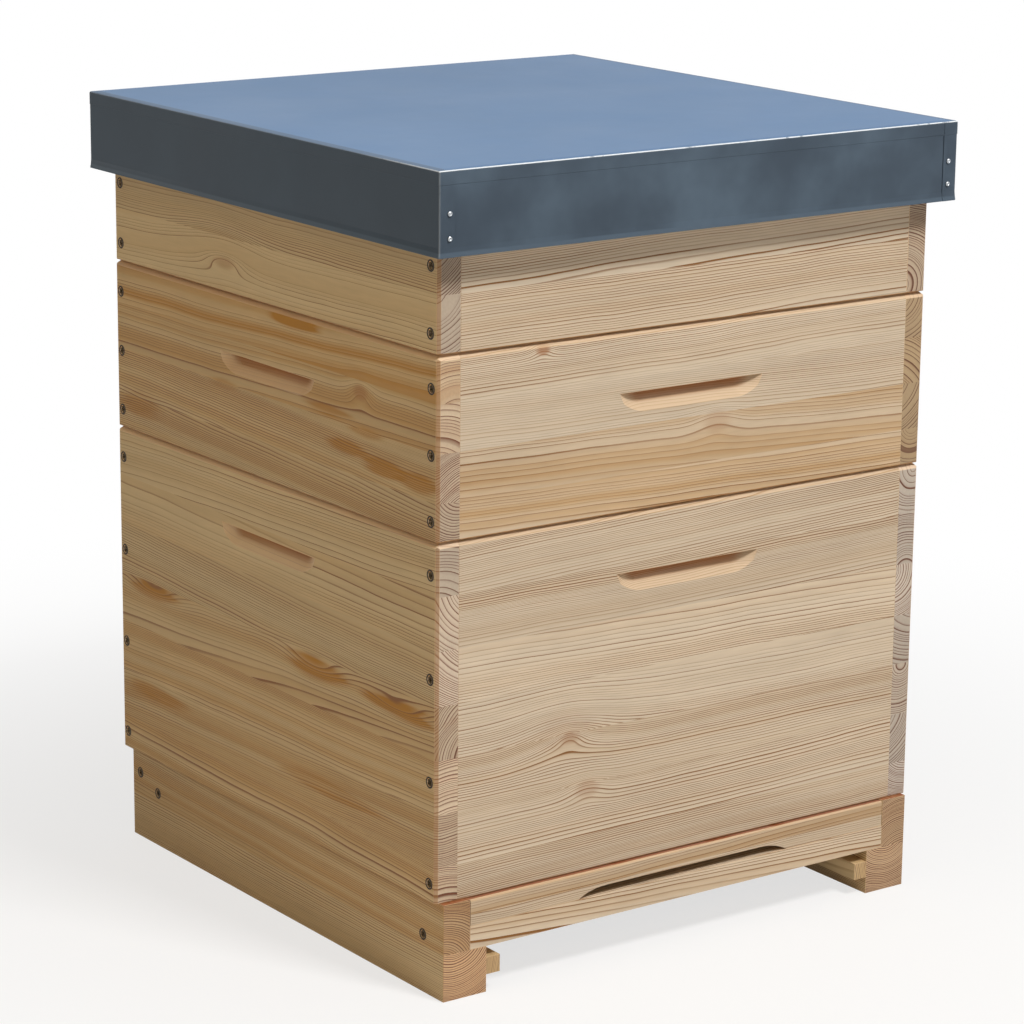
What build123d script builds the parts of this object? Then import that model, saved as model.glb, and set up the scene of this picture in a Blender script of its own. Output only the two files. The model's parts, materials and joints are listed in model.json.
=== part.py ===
from build123d import *
from math import isclose, radians, tan
import os

os.makedirs("parts", exist_ok=True)

# A twelve-frame hive on an open mesh floor: brood box, half-depth super, rim, inner cover and roof.
# The origin is on the ground in the middle of the footprint, +Z is up, the entrance faces -Y,
# and X runs to the right as seen from the front. All sizes are in millimetres.

# Frames: the hive is laid out round them
frame_count = 12
frame_pitch = 37.0
frame_length = 435.0
brood_frame_height = 300.0
super_frame_height = 145.0
lug_length = 17.5
lug_thickness = 10.0
top_bar_width = 25.0
top_bar_thickness = 20.0
top_bar_neck = 13.0
side_bar_thickness = 10.0
side_bar_foot = 25.0
shoulder_play = 0.5
brood_shoulder = 105.0
super_shoulder = 55.0
shoulder_taper = 14.0
bottom_bar_width = 15.0
bottom_bar_thickness = 10.0
foundation_thickness = 1.2

# Bee spaces round the frames
space_above = 6.0
space_below = 4.0
end_space = 7.5
side_space = 3.0
lug_play = 1.0

# Boxes and rim
wall = 35.0
corner_lip = 22.0
corner_tongue = 19.0
cover_ledge = 13.0
rim_height = 100.0
drip_chamfer = 5.0
corner_arris = 2.5

# Hand-holds, milled by a cutter that turns on an upright axis
hold_drop = 53.5
hold_straight = 101.0
hold_height = 17.0
hold_depth = 9.0
hold_lip_height = 8.0
hold_lip_depth = 6.5
hold_cutter_radius = 42.0
hold_run_out = 2.0

# Wood screws and rivets
fastener_sides = 6
screw_head_radius = 3.75
screw_shank_radius = 2.25
screw_length = 50.0
screw_recess = 0.6
sink_angle = 82.0
screw_low = 16.0
screw_high = 29.0
brood_screw_rows = 4
super_screw_rows = 3
rim_screw_rows = 2

# Floor
base_height = 86.0
base_inset = 5.0
base_front_step = 5.0
base_back_step = 9.0
rail_width = 44.0
rail_rebate = 17.0
ledge_height = 41.0
sill_thickness = 21.0
sill_depth = 61.0
rear_bar_thickness = 27.0
floor_board_depth = 37.0
runner_width = 14.0
runner_height = 15.5
tray_gap = 10.0
mesh_thickness = 1.0
mesh_cells = 16
mesh_bar = 2.0
mesh_play = 0.5

# Entrance strip
strip_thickness = 20.0
strip_top_gap = 0.6
strip_play = 0.5
strip_chamfer = 1.5
slot_flat = 175.0
slot_height = 7.5
slot_cutter_radius = 56.0

# Inner cover
cover_thickness = 10.0
cover_play = 2.0
cleat_length = 400.0
cleat_width = 40.0
cleat_thickness = 18.0
cleat_inset = 40.0
cleat_chamfer = 3.0

# Roof
roof_height = 70.0
roof_overlap = 18.0
overhang_side = 13.5
overhang_end = 20.0
sheet = 1.0
sheet_bend = 0.9
flap_width = 15.5
roof_board = 35.0
roof_play = 1.5
roof_hem = 1.0
deck_thickness = 12.0
rivet_head_radius = 3.0
rivet_crown_radius = 1.8
rivet_dome = 1.2
rivet_shank_radius = 1.6
rivet_grip = 8.0
rivet_inset = 10.5
rivet_first = 15.0
rivet_step = 20.0

# Sizes that follow from the frames and the boards
inner_width = frame_count * frame_pitch + 2 * side_space
inner_depth = frame_length + 2 * end_space
box_width = inner_width + 2 * wall
box_depth = inner_depth + 2 * wall
brood_height = space_above + brood_frame_height + space_below
super_height = space_above + super_frame_height + space_below
rest_depth = lug_length - end_space + lug_play
rest_height = space_above + lug_thickness
rim_wall = wall - cover_ledge

brood_bottom = base_height
super_bottom = brood_bottom + brood_height
rim_bottom = super_bottom + super_height
rim_top = rim_bottom + rim_height
roof_bottom = rim_top - roof_overlap
roof_top = roof_bottom + roof_height

half_width = box_width / 2
half_depth = box_depth / 2


def export(piece, name):
    """Name a finished piece and write it."""
    piece.label = name
    export_step(piece, f"parts/{name}.step")


def group(solids, name):
    """Write several separate solids as one named piece."""
    export(Compound(children=list(solids)), name)


# Wood screw, head up, its top in the XY plane, and the bore whose countersink lets it lie below the face
sink_slope = tan(radians(sink_angle / 2))
screw_head_height = (screw_head_radius - screw_shank_radius) / sink_slope
sink_radius = screw_head_radius + screw_recess * sink_slope

with BuildPart() as wood_screw:
    with BuildSketch(Plane.XY):
        RegularPolygon(screw_head_radius, fastener_sides)
    with BuildSketch(Plane.XY.offset(-screw_head_height)):
        RegularPolygon(screw_shank_radius, fastener_sides)
    loft(ruled=True)
    with BuildSketch(Plane.XY.offset(-screw_head_height)):
        RegularPolygon(screw_shank_radius, fastener_sides)
    extrude(amount=screw_head_height - screw_length)

sunk = Location((0, 0, -screw_recess))

with BuildPart() as screw_bore:
    with BuildSketch(Plane.XY):
        RegularPolygon(sink_radius, fastener_sides)
    with BuildSketch(Plane.XY.offset(-screw_recess - screw_head_height)):
        RegularPolygon(screw_shank_radius, fastener_sides)
    loft(ruled=True)
    add(sunk * wood_screw.part)


def screw_places(face_x, rows_y, rows_z):
    """Places of screws driven in from both side faces, their local Z pointing out of the wood."""
    return {
        side: [Location((side * face_x, y, z), (0, side * 90, 0)) for y in rows_y for z in rows_z]
        for side in (-1, 1)
    }


def places_at_end(places, end):
    """Those of the places that lie at the front (-1) or the back (+1)."""
    return [place for side in places for place in places[side] if place.position.Y * end > 0]


def screw_group(places, name):
    """Screws sunk a little below the faces that they are driven into."""
    group([place * sunk * wood_screw.part for side in places for place in places[side]], name)


def box_screw_heights(bottom, height, rows):
    """Heights of one corner's screws, spread evenly from the lowest to the highest."""
    step = (height - screw_low - screw_high) / (rows - 1)
    return [bottom + screw_low + row * step for row in range(rows)]


# Shape that the hand-hold cutter sweeps: it digs towards +Y under a ledge in the XY plane,
# with a steep back and a flatter lip that runs out through the wall's face
hold_axis_y = hold_depth - hold_cutter_radius

with BuildPart() as hold_sweep:
    with BuildSketch(Plane.YZ.offset(-hold_straight / 2)) as hold_profile:
        with BuildLine():
            ledge = Line((hold_axis_y, 0), (hold_depth, 0))
            back = Line(ledge @ 1, (hold_lip_depth, hold_lip_height - hold_height))
            lip = Line(back @ 1, (0, -hold_height))
            run_out = Line(lip @ 1, lip @ 1 + (lip % 1) * hold_run_out)
            Polyline(run_out @ 1, (hold_axis_y, (run_out @ 1).Y), ledge @ 0)
        make_face()
    extrude(amount=hold_straight)
    revolve(hold_profile.sketch, axis=Axis((-hold_straight / 2, hold_axis_y, 0), (0, 0, 1)))
    mirror(about=Plane.YZ)


def side_wall(side, bottom, height, places, name):
    """Left (-1) or right (+1) wall: its ends are rebated to a lip that shows its end grain in front."""
    outer, lip, inner = (side * (half_width - cut) for cut in (0, corner_lip, wall))
    shoulder = half_depth - corner_tongue
    with BuildPart() as board:
        with BuildSketch(Plane.XY.offset(bottom)):
            with BuildLine():
                Polyline(
                    (outer, -half_depth),
                    (lip, -half_depth),
                    (lip, -shoulder),
                    (inner, -shoulder),
                    (inner, shoulder),
                    (lip, shoulder),
                    (lip, half_depth),
                    (outer, half_depth),
                    close=True,
                )
            make_face()
        extrude(amount=height)
        chamfer(top_outer_edges(board), length=drip_chamfer)
        chamfer(corner_edges(board, side), length=corner_arris)
        with Locations(Location((outer, 0, bottom + height - hold_drop), (0, 0, side * 90))):
            add(hold_sweep.part, mode=Mode.SUBTRACT)
        with Locations(places[side]):
            add(screw_bore.part, mode=Mode.SUBTRACT)
    export(board.part, name)


def corner_edges(board, side):
    """Upright corner edges on the outer face of a side board."""
    return board.edges().filter_by(Axis.Z).group_by(Axis.X)[0 if side < 0 else -1]


def top_outer_edges(board):
    """Edges round the top that lie on the outside of the box."""
    top = board.edges().group_by(Axis.Z)[-1]
    return top.filter_by(
        lambda edge: isclose(abs(edge.center().X), half_width) or isclose(abs(edge.center().Y), half_depth)
    )


def end_wall(end, bottom, height, places, name):
    """Front (-1) or back (+1) wall: tongues lie in the side walls, a rebate inside carries the lugs."""
    outer, tongue, inner = (end * (half_depth - cut) for cut in (0, corner_tongue, wall))
    tongue_x = half_width - corner_lip
    inner_x = half_width - wall
    with BuildPart() as board:
        with BuildSketch(Plane.XY.offset(bottom)):
            with BuildLine():
                Polyline(
                    (-tongue_x, outer),
                    (tongue_x, outer),
                    (tongue_x, tongue),
                    (inner_x, tongue),
                    (inner_x, inner),
                    (-inner_x, inner),
                    (-inner_x, tongue),
                    (-tongue_x, tongue),
                    close=True,
                )
            make_face()
        extrude(amount=height)
        chamfer(top_outer_edges(board), length=drip_chamfer)
        with BuildSketch(Plane.XY.offset(bottom + height)):
            with Locations((0, inner + end * rest_depth / 2)):
                Rectangle(2 * inner_x, rest_depth)
        extrude(amount=-rest_height, mode=Mode.SUBTRACT)
        with Locations(Location((0, outer, bottom + height - hold_drop), (0, 0, 90 + end * 90))):
            add(hold_sweep.part, mode=Mode.SUBTRACT)
        with Locations(places_at_end(places, end)):
            add(screw_bore.part, mode=Mode.SUBTRACT)
    export(board.part, name)


def hive_box(prefix, bottom, height, rows):
    """Four walls and the screws that draw the side walls on to the tongues."""
    screw_y = half_depth - corner_tongue / 2
    places = screw_places(half_width, (-screw_y, screw_y), box_screw_heights(bottom, height, rows))
    side_wall(-1, bottom, height, places, f"{prefix}_left_wall")
    side_wall(1, bottom, height, places, f"{prefix}_right_wall")
    end_wall(-1, bottom, height, places, f"{prefix}_front_wall")
    end_wall(1, bottom, height, places, f"{prefix}_back_wall")
    screw_group(places, f"{prefix}_screws")


hive_box("brood", brood_bottom, brood_height, brood_screw_rows)
hive_box("super", super_bottom, super_height, super_screw_rows)


# Rim: plain boards, the side boards across the ends of the front and back ones
rim_screw_y = half_depth - rim_wall / 2
rim_heights = box_screw_heights(rim_bottom, rim_height, rim_screw_rows)
rim_places = screw_places(half_width, (-rim_screw_y, rim_screw_y), rim_heights)

for side, name in ((-1, "rim_left_board"), (1, "rim_right_board")):
    with BuildPart() as rim_side:
        with BuildSketch(Plane.XY.offset(rim_bottom)):
            with Locations((side * (half_width - rim_wall / 2), 0)):
                Rectangle(rim_wall, box_depth)
        extrude(amount=rim_height)
        chamfer(corner_edges(rim_side, side), length=corner_arris)
        with Locations(rim_places[side]):
            add(screw_bore.part, mode=Mode.SUBTRACT)
    export(rim_side.part, name)

for end, name in ((-1, "rim_front_board"), (1, "rim_back_board")):
    with BuildPart() as rim_end:
        with BuildSketch(Plane.XY.offset(rim_bottom)):
            with Locations((0, end * (half_depth - rim_wall / 2))):
                Rectangle(box_width - 2 * rim_wall, rim_wall)
        extrude(amount=rim_height)
        with Locations(places_at_end(rim_places, end)):
            add(screw_bore.part, mode=Mode.SUBTRACT)
    export(rim_end.part, name)

screw_group(rim_places, "rim_screws")

# Floor: two rails rebated along the upper inner edge, with cross pieces and battens on the ledges
rail_outer = half_width - base_inset
rail_inner = rail_outer - rail_width
rebate_x = rail_inner + rail_rebate
base_front = -half_depth - base_front_step
base_back = half_depth - base_back_step
rail_length = base_back - base_front
floor_top = ledge_height + sill_thickness
sill_back = base_front + sill_depth
rear_bar_front = base_back - rear_bar_thickness
floor_board_front = rear_bar_front - floor_board_depth
floor_mid = ledge_height + sill_thickness / 2

base_places = {
    side: [
        Location((side * rail_outer, y, z), (0, side * 90, 0))
        for y, z in (
            (base_front + sill_depth / 2, floor_mid),
            (rear_bar_front - floor_board_depth / 2, floor_mid),
            (base_back - rear_bar_thickness / 2, (ledge_height + base_height) / 2),
        )
    ]
    for side in (-1, 1)
}

for side, name in ((-1, "left_rail"), (1, "right_rail")):
    with BuildPart() as rail:
        with BuildSketch(Plane.XZ.offset(-base_front)):
            with BuildLine():
                Polyline(
                    (side * rail_outer, 0),
                    (side * rail_inner, 0),
                    (side * rail_inner, ledge_height),
                    (side * rebate_x, ledge_height),
                    (side * rebate_x, base_height),
                    (side * rail_outer, base_height),
                    close=True,
                )
            make_face()
        extrude(amount=-rail_length)
        with Locations(base_places[side]):
            add(screw_bore.part, mode=Mode.SUBTRACT)
    export(rail.part, name)


def cross_piece(front, back, top, name):
    """Bar between the rails, standing on their ledges and screwed through them."""
    with BuildPart() as bar:
        with BuildSketch(Plane.XY.offset(ledge_height)):
            with Locations((0, (front + back) / 2)):
                Rectangle(2 * rebate_x, back - front)
        extrude(amount=top - ledge_height)
        with Locations([p for p in base_places[-1] + base_places[1] if front < p.position.Y < back]):
            add(screw_bore.part, mode=Mode.SUBTRACT)
    export(bar.part, name)


cross_piece(base_front, sill_back, floor_top, "front_sill")
cross_piece(floor_board_front, rear_bar_front, floor_top, "rear_floor_board")
cross_piece(rear_bar_front, base_back, base_height, "rear_bar")
screw_group(base_places, "base_screws")


def rail_strip(middle_x, front, back, bottom, width, height):
    """Square strip that lies along a rail."""
    with BuildPart() as strip:
        with BuildSketch(Plane.XY.offset(bottom)):
            with Locations((middle_x, (front + back) / 2)):
                Rectangle(width, back - front)
        extrude(amount=height)
    return strip.part


batten_x = rebate_x - rail_rebate / 2
group(
    [
        rail_strip(side * batten_x, sill_back, floor_board_front, ledge_height, rail_rebate, sill_thickness)
        for side in (-1, 1)
    ],
    "mesh_battens",
)

runner_x = rail_inner - runner_width / 2
runner_bottom = ledge_height - tray_gap - runner_height
group(
    [
        rail_strip(side * runner_x, base_front, base_back, runner_bottom, runner_width, runner_height)
        for side in (-1, 1)
    ],
    "tray_runners",
)

# Floor mesh: one net with square gaps, lying on the sill, the battens and the rear floor board
strip_back = base_front + strip_thickness
mesh_width = 2 * (rebate_x - mesh_play)
mesh_front = strip_back + mesh_play
mesh_back = rear_bar_front - mesh_play
mesh_depth = mesh_back - mesh_front
mesh_pitch_x = (mesh_width - mesh_bar) / mesh_cells
mesh_pitch_y = (mesh_depth - mesh_bar) / mesh_cells

with BuildPart() as floor_mesh:
    with BuildSketch(Plane((0, (mesh_front + mesh_back) / 2, floor_top))):
        Rectangle(mesh_width, mesh_depth)
        with GridLocations(mesh_pitch_x, mesh_pitch_y, mesh_cells, mesh_cells):
            Rectangle(mesh_pitch_x - mesh_bar, mesh_pitch_y - mesh_bar, mode=Mode.SUBTRACT)
    extrude(amount=mesh_thickness)
export(floor_mesh.part, "floor_mesh")

# Entrance strip: stands on the sill between the rails, its slot run out by the cutter at both ends
strip_length = 2 * (rebate_x - strip_play)
strip_height = base_height - floor_top - strip_top_gap

with BuildPart() as entrance_strip:
    with BuildSketch(Plane.XZ.offset(-base_front)):
        with Locations((0, floor_top)):
            Rectangle(strip_length, strip_height, align=(Align.CENTER, Align.MIN))
            Rectangle(slot_flat, slot_height, align=(Align.CENTER, Align.MIN), mode=Mode.SUBTRACT)
        with Locations((0, floor_top + slot_height - slot_cutter_radius)):
            with GridLocations(slot_flat, 0, 2, 1):
                Circle(slot_cutter_radius, mode=Mode.SUBTRACT)
    extrude(amount=-strip_thickness)
    chamfer(entrance_strip.edges().filter_by(Axis.X).group_by(Axis.Z)[-1].sort_by(Axis.Y)[0], strip_chamfer)
export(entrance_strip.part, "entrance_strip")

# Inner cover: a panel inside the rim, on the ledge that the thinner rim leaves round the super
cover_width = box_width - 2 * (rim_wall + cover_play)
cover_depth = box_depth - 2 * (rim_wall + cover_play)

with BuildPart() as cover_panel:
    with BuildSketch(Plane.XY.offset(rim_bottom)):
        Rectangle(cover_width, cover_depth)
    extrude(amount=cover_thickness)
export(cover_panel.part, "inner_cover_panel")

with BuildPart() as cover_cleat:
    with BuildSketch(Plane.XY.offset(rim_bottom + cover_thickness)):
        Rectangle(cleat_length, cleat_width)
    extrude(amount=cleat_thickness)
    chamfer(cover_cleat.faces().sort_by(Axis.Z)[-1].edges(), cleat_chamfer)

cleat_y = cover_depth / 2 - cleat_inset - cleat_width / 2
group([Location((0, end * cleat_y, 0)) * cover_cleat.part for end in (-1, 1)], "inner_cover_cleats")

# Roof: rebated boards that drop over the rim, a deck on them, and a folded sheet over all
roof_half_width = half_width + overhang_side
roof_half_depth = half_depth + overhang_end
skirt_half_depth = roof_half_depth - sheet
deck_half_width = roof_half_width - sheet
deck_half_depth = skirt_half_depth - sheet
deck_top = roof_top - sheet
boards_bottom = roof_bottom + roof_hem
boards_top = deck_top - deck_thickness
frame_half_width = deck_half_width - roof_board
frame_half_depth = deck_half_depth - roof_board


def rebated_section(outer, inner, rim_face):
    """Section of a roof board: the lip hangs outside the rim, the rebate stands on its top."""
    return (
        (outer, boards_bottom),
        (rim_face, boards_bottom),
        (rim_face, rim_top),
        (inner, rim_top),
        (inner, boards_top),
        (outer, boards_top),
    )


# Rivet, head up, its rim in the XY plane
with BuildPart() as rivet:
    with BuildSketch(Plane.XY):
        RegularPolygon(rivet_head_radius, fastener_sides)
    with BuildSketch(Plane.XY.offset(rivet_dome)):
        RegularPolygon(rivet_crown_radius, fastener_sides)
    loft(ruled=True)
    with BuildSketch(Plane.XY):
        RegularPolygon(rivet_shank_radius, fastener_sides)
    extrude(amount=-rivet_grip)

rivet_x = roof_half_width - rivet_inset
rivet_heights = (roof_bottom + rivet_first, roof_bottom + rivet_first + rivet_step)
rivet_places = [
    Location((side * rivet_x, end * roof_half_depth, height), (-end * 90, 0, 0))
    for side in (-1, 1)
    for end in (-1, 1)
    for height in rivet_heights
]

for side, name in ((-1, "roof_left_board"), (1, "roof_right_board")):
    with BuildPart() as roof_side:
        with BuildSketch(Plane.XZ.offset(-deck_half_depth)):
            with BuildLine():
                section = rebated_section(deck_half_width, frame_half_width, half_width + roof_play)
                Polyline(*[(side * x, z) for x, z in section], close=True)
            make_face()
        extrude(amount=2 * deck_half_depth)
        with Locations([place for place in rivet_places if place.position.X * side > 0]):
            add(rivet.part, mode=Mode.SUBTRACT)
    export(roof_side.part, name)

for end, name in ((-1, "roof_front_board"), (1, "roof_back_board")):
    with BuildPart() as roof_end:
        with BuildSketch(Plane.YZ.offset(-frame_half_width)):
            with BuildLine():
                section = rebated_section(deck_half_depth, frame_half_depth, half_depth + roof_play)
                Polyline(*[(end * y, z) for y, z in section], close=True)
            make_face()
        extrude(amount=2 * frame_half_width)
    export(roof_end.part, name)

with BuildPart() as roof_deck:
    with BuildSketch(Plane.XY.offset(boards_top)):
        Rectangle(2 * deck_half_width, 2 * deck_half_depth)
    extrude(amount=deck_thickness)
export(roof_deck.part, "roof_deck")


def is_sheet_corner(edge):
    """Whether an upright edge lies at an outer corner of the folded sheet."""
    return isclose(abs(edge.center().X), roof_half_width) and isclose(abs(edge.center().Y), roof_half_depth)


with BuildPart() as roof_sheet:
    with BuildSketch(Plane.XY.offset(roof_bottom)):
        Rectangle(2 * roof_half_width, 2 * skirt_half_depth)
    extrude(amount=roof_height)
    with BuildSketch(Plane.XY.offset(roof_bottom)):
        with GridLocations(2 * roof_half_width - flap_width, 2 * skirt_half_depth, 2, 2):
            Rectangle(flap_width, 2 * sheet)
    extrude(amount=roof_height)
    chamfer(roof_sheet.edges().filter_by(Axis.Z).filter_by(is_sheet_corner), sheet_bend)
    chamfer(roof_sheet.faces().sort_by(Axis.Z)[-1].edges(), sheet_bend)
    with BuildSketch(Plane.XY.offset(roof_bottom)):
        Rectangle(2 * deck_half_width, 2 * deck_half_depth)
    extrude(amount=roof_height - sheet, mode=Mode.SUBTRACT)
    with Locations(rivet_places):
        add(rivet.part, mode=Mode.SUBTRACT)
export(roof_sheet.part, "roof_sheet")

group([place * rivet.part for place in rivet_places], "roof_rivets")

# Hive frames, built with the top bar's upper face in the XY plane and the length along Y
notch_depth = (top_bar_width - top_bar_neck) / 2
shoulder_width = frame_pitch - shoulder_play
side_bar_y = (frame_length - side_bar_thickness) / 2

with BuildPart() as top_bar:
    with BuildSketch(Plane.YZ):
        with BuildLine():
            Polyline(
                (0, 0),
                (frame_length / 2 + lug_length, 0),
                (frame_length / 2 + lug_length, -lug_thickness),
                (frame_length / 2, -lug_thickness),
                (frame_length / 2, -top_bar_thickness),
                (0, -top_bar_thickness),
            )
            mirror(about=Plane.YZ)
        make_face()
    extrude(amount=top_bar_width / 2, both=True)
    with BuildSketch(Plane.XY):
        with GridLocations(top_bar_neck + notch_depth, 2 * side_bar_y, 2, 2):
            Rectangle(notch_depth, side_bar_thickness)
    extrude(amount=-top_bar_thickness, mode=Mode.SUBTRACT)


def frame_solids(height, shoulder):
    """Top bar, two forked side bars, bottom bar and wax foundation of one frame."""
    with BuildPart() as side_bar:
        with BuildSketch(Plane.XZ):
            with BuildLine():
                Polyline(
                    (0, 0),
                    (shoulder_width / 2, 0),
                    (shoulder_width / 2, -shoulder),
                    (side_bar_foot / 2, -shoulder - shoulder_taper),
                    (side_bar_foot / 2, -height),
                    (0, -height),
                )
                mirror(about=Plane.YZ)
            make_face()
            Rectangle(top_bar_neck, 2 * top_bar_thickness, mode=Mode.SUBTRACT)
            with Locations((0, -height)):
                Rectangle(bottom_bar_width, 2 * bottom_bar_thickness, mode=Mode.SUBTRACT)
        extrude(amount=side_bar_thickness / 2, both=True)
    with BuildPart() as bottom_bar:
        with BuildSketch(Plane.XY.offset(-height)):
            Rectangle(bottom_bar_width, frame_length)
        extrude(amount=bottom_bar_thickness)
    with BuildPart() as foundation:
        with BuildSketch(Plane.XY.offset(bottom_bar_thickness - height)):
            Rectangle(foundation_thickness, frame_length - 2 * side_bar_thickness)
        extrude(amount=height - bottom_bar_thickness - top_bar_thickness)
    side_bars = [Location((0, end * side_bar_y, 0)) * side_bar.part for end in (-1, 1)]
    return [top_bar.part, *side_bars, bottom_bar.part, foundation.part]


def hang_frames(prefix, box_top, height, shoulder):
    """A full row of frames, their lugs in the rebates of the front and back walls."""
    solids = frame_solids(height, shoulder)
    for index in range(frame_count):
        x = (index - (frame_count - 1) / 2) * frame_pitch
        place = Location((x, 0, box_top - space_above))
        group([place * solid for solid in solids], f"{prefix}_frame_{index + 1:02d}")


hang_frames("brood", super_bottom, brood_frame_height, brood_shoulder)
hang_frames("super", rim_bottom, super_frame_height, super_shoulder)
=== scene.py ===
"""Dresses the packed hive: glued pine, folded roof, fasteners, wire floor, frames and a plain studio."""
import json
import random
from math import copysign, cos, pi, radians, sin, tau
from typing import NamedTuple

import bmesh
import bpy
from bpy.props import FloatProperty, FloatVectorProperty, PointerProperty
from mathutils import Matrix, Vector

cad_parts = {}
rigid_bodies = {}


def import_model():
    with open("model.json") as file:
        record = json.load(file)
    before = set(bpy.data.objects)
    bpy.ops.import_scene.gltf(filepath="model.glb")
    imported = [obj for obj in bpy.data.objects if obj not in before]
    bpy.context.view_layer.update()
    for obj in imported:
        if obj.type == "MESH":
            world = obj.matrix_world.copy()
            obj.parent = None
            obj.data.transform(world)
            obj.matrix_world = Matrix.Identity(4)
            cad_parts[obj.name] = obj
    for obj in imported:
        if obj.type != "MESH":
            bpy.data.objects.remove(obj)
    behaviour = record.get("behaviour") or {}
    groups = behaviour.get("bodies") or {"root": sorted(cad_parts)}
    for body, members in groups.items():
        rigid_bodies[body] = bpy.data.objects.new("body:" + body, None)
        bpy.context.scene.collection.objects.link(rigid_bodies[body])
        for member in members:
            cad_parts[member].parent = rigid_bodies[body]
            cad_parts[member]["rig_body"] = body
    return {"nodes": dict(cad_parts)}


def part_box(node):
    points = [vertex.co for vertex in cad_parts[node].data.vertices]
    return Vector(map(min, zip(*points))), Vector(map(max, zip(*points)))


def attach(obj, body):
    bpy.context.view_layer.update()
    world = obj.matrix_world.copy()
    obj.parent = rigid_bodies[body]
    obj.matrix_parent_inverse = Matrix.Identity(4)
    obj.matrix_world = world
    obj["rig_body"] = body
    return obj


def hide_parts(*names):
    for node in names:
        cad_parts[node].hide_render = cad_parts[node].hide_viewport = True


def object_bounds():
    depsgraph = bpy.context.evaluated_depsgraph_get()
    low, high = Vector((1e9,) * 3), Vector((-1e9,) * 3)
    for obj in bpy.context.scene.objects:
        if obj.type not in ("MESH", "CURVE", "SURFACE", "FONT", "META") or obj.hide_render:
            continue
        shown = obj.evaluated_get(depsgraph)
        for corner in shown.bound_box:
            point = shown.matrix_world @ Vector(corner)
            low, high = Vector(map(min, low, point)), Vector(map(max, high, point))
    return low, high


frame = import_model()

bl_info = {
    "name": "Twelve-frame hive",
    "version": (1, 0, 0),
    "blender": (4, 5, 0),
    "location": "View3D > Sidebar > Hive",
    "description": "Dresses a hive of boxes, frames, floor and roof round its packed model",
    "category": "Object",
}

MM = 0.001
cad_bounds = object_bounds()


def srgb(red, green, blue):
    """A colour given in steps of 0 to 255, as the linear values that shaders use."""
    shares = (red / 255, green / 255, blue / 255)
    return tuple(s / 12.92 if s <= 0.04045 else ((s + 0.055) / 1.055) ** 2.4 for s in shares)


def colour_setting(name, description, default):
    """A colour that a user may change."""
    return FloatVectorProperty(
        name=name, description=description, subtype="COLOR", size=3, min=0, max=1, default=default
    )


def length_setting(name, description, default):
    """A length that a user may change, in metres."""
    return FloatProperty(name=name, description=description, unit="LENGTH", min=0, default=default)


class TimberSettings(bpy.types.PropertyGroup):
    """Pine of the boxes, the rim and the floor."""

    early_wood: colour_setting("Early wood", "Pale wood between the rings", srgb(212, 197, 175))
    late_wood: colour_setting("Late wood", "Thin dark line that ends each year's ring", srgb(126, 80, 24))
    heart_wood: colour_setting("Heart wood", "Warm wood near the middle of the log", srgb(172, 122, 32))
    knot_wood: colour_setting("Knot", "Resin-brown middle of a knot", srgb(150, 96, 52))
    end_line: colour_setting("End line", "Ring lines on the sawn end of a stave", srgb(102, 56, 30))
    end_grain: colour_setting("End grain", "Sawn end of a stave", srgb(184, 171, 160))
    # Darker orange tint on the corner arrises, and painted shade along the foot of each box.
    edge_wood: colour_setting("Edge wood", "Resin-rich wood on arrises and feet", srgb(172, 122, 66))
    # Painted warm bounce light in the shaded seams between boxes and on down-facing slopes.
    seam_wood: colour_setting("Seam", "Warm stain of resin in the seams between boxes", srgb(250, 192, 116))
    # Dark red on the front part of the top faces of the rails and the entrance strip.
    sill_wood: colour_setting("Sill stain", "Red resin stain before the brood box", srgb(132, 62, 24))
    # Painted shade deep in a hand-hold: darker and warmer at its back.
    hollow_wood: colour_setting("Hollow", "Burnished wood deep in a hand-hold", srgb(166, 98, 30))
    # Paler wood of the chamfers and hand-hold lips: partly fresh-cut wood, partly painted highlight where they
    # face the light.
    milled_wood: colour_setting("Milled wood", "Fresh wood of chamfers and hand-holds", srgb(212, 181, 144))
    ring_width: length_setting("Ring width", "Width of the rings next to the pith", 4.4 * MM)
    line_width: length_setting("Line width", "Width of the dark line that ends a ring", 0.66 * MM)
    wander: length_setting("Wander", "How far rings stray slowly along a board", 16 * MM)
    ripple: length_setting("Ripple", "How far rings stray within a hand's width", 3.4 * MM)
    edge_ease: length_setting("Edge ease", "Width of the eased edges of a board", 0.45 * MM)
    foot_ease: length_setting("Foot ease", "Width of the chamfer round the foot of a box", 0.4 * MM)
    # Height of the painted shade line at a box's foot.
    foot_stain: length_setting("Foot stain", "Height of the dark line at a box's foot", 1.3 * MM)
    # Height of the painted bounce light at the top of a box's chamfer.
    seam_stain: length_setting("Seam stain", "Height of the resin stain inside a seam", 1.0 * MM)


class RoofSettings(bpy.types.PropertyGroup):
    """Folded sheet of the roof."""

    skirt_colour: colour_setting("Skirt", "Slate-grey coat on the upright sides", srgb(66, 78, 91))
    # Painted sky reflection: the colour that the up-facing faces of the roof take.
    top_colour: colour_setting("Top", "Sky-washed coat on the flat top", srgb(74, 107, 146))
    # Colour of the smudges, and of the painted highlight on the flared hem.
    smudge_colour: colour_setting("Smudge", "Paler marks left by hands and rain", srgb(100, 118, 135))
    # Painted highlight along the folds and the vertical corners of the roof.
    worn_colour: colour_setting("Worn fold", "Bare metal where the folds have rubbed", srgb(226, 233, 240))
    hem_height: length_setting("Hem height", "Height of the flared hem", 4 * MM)
    crease_drop: length_setting("Crease drop", "Depth of the crease below the top edge", 12 * MM)


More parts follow.
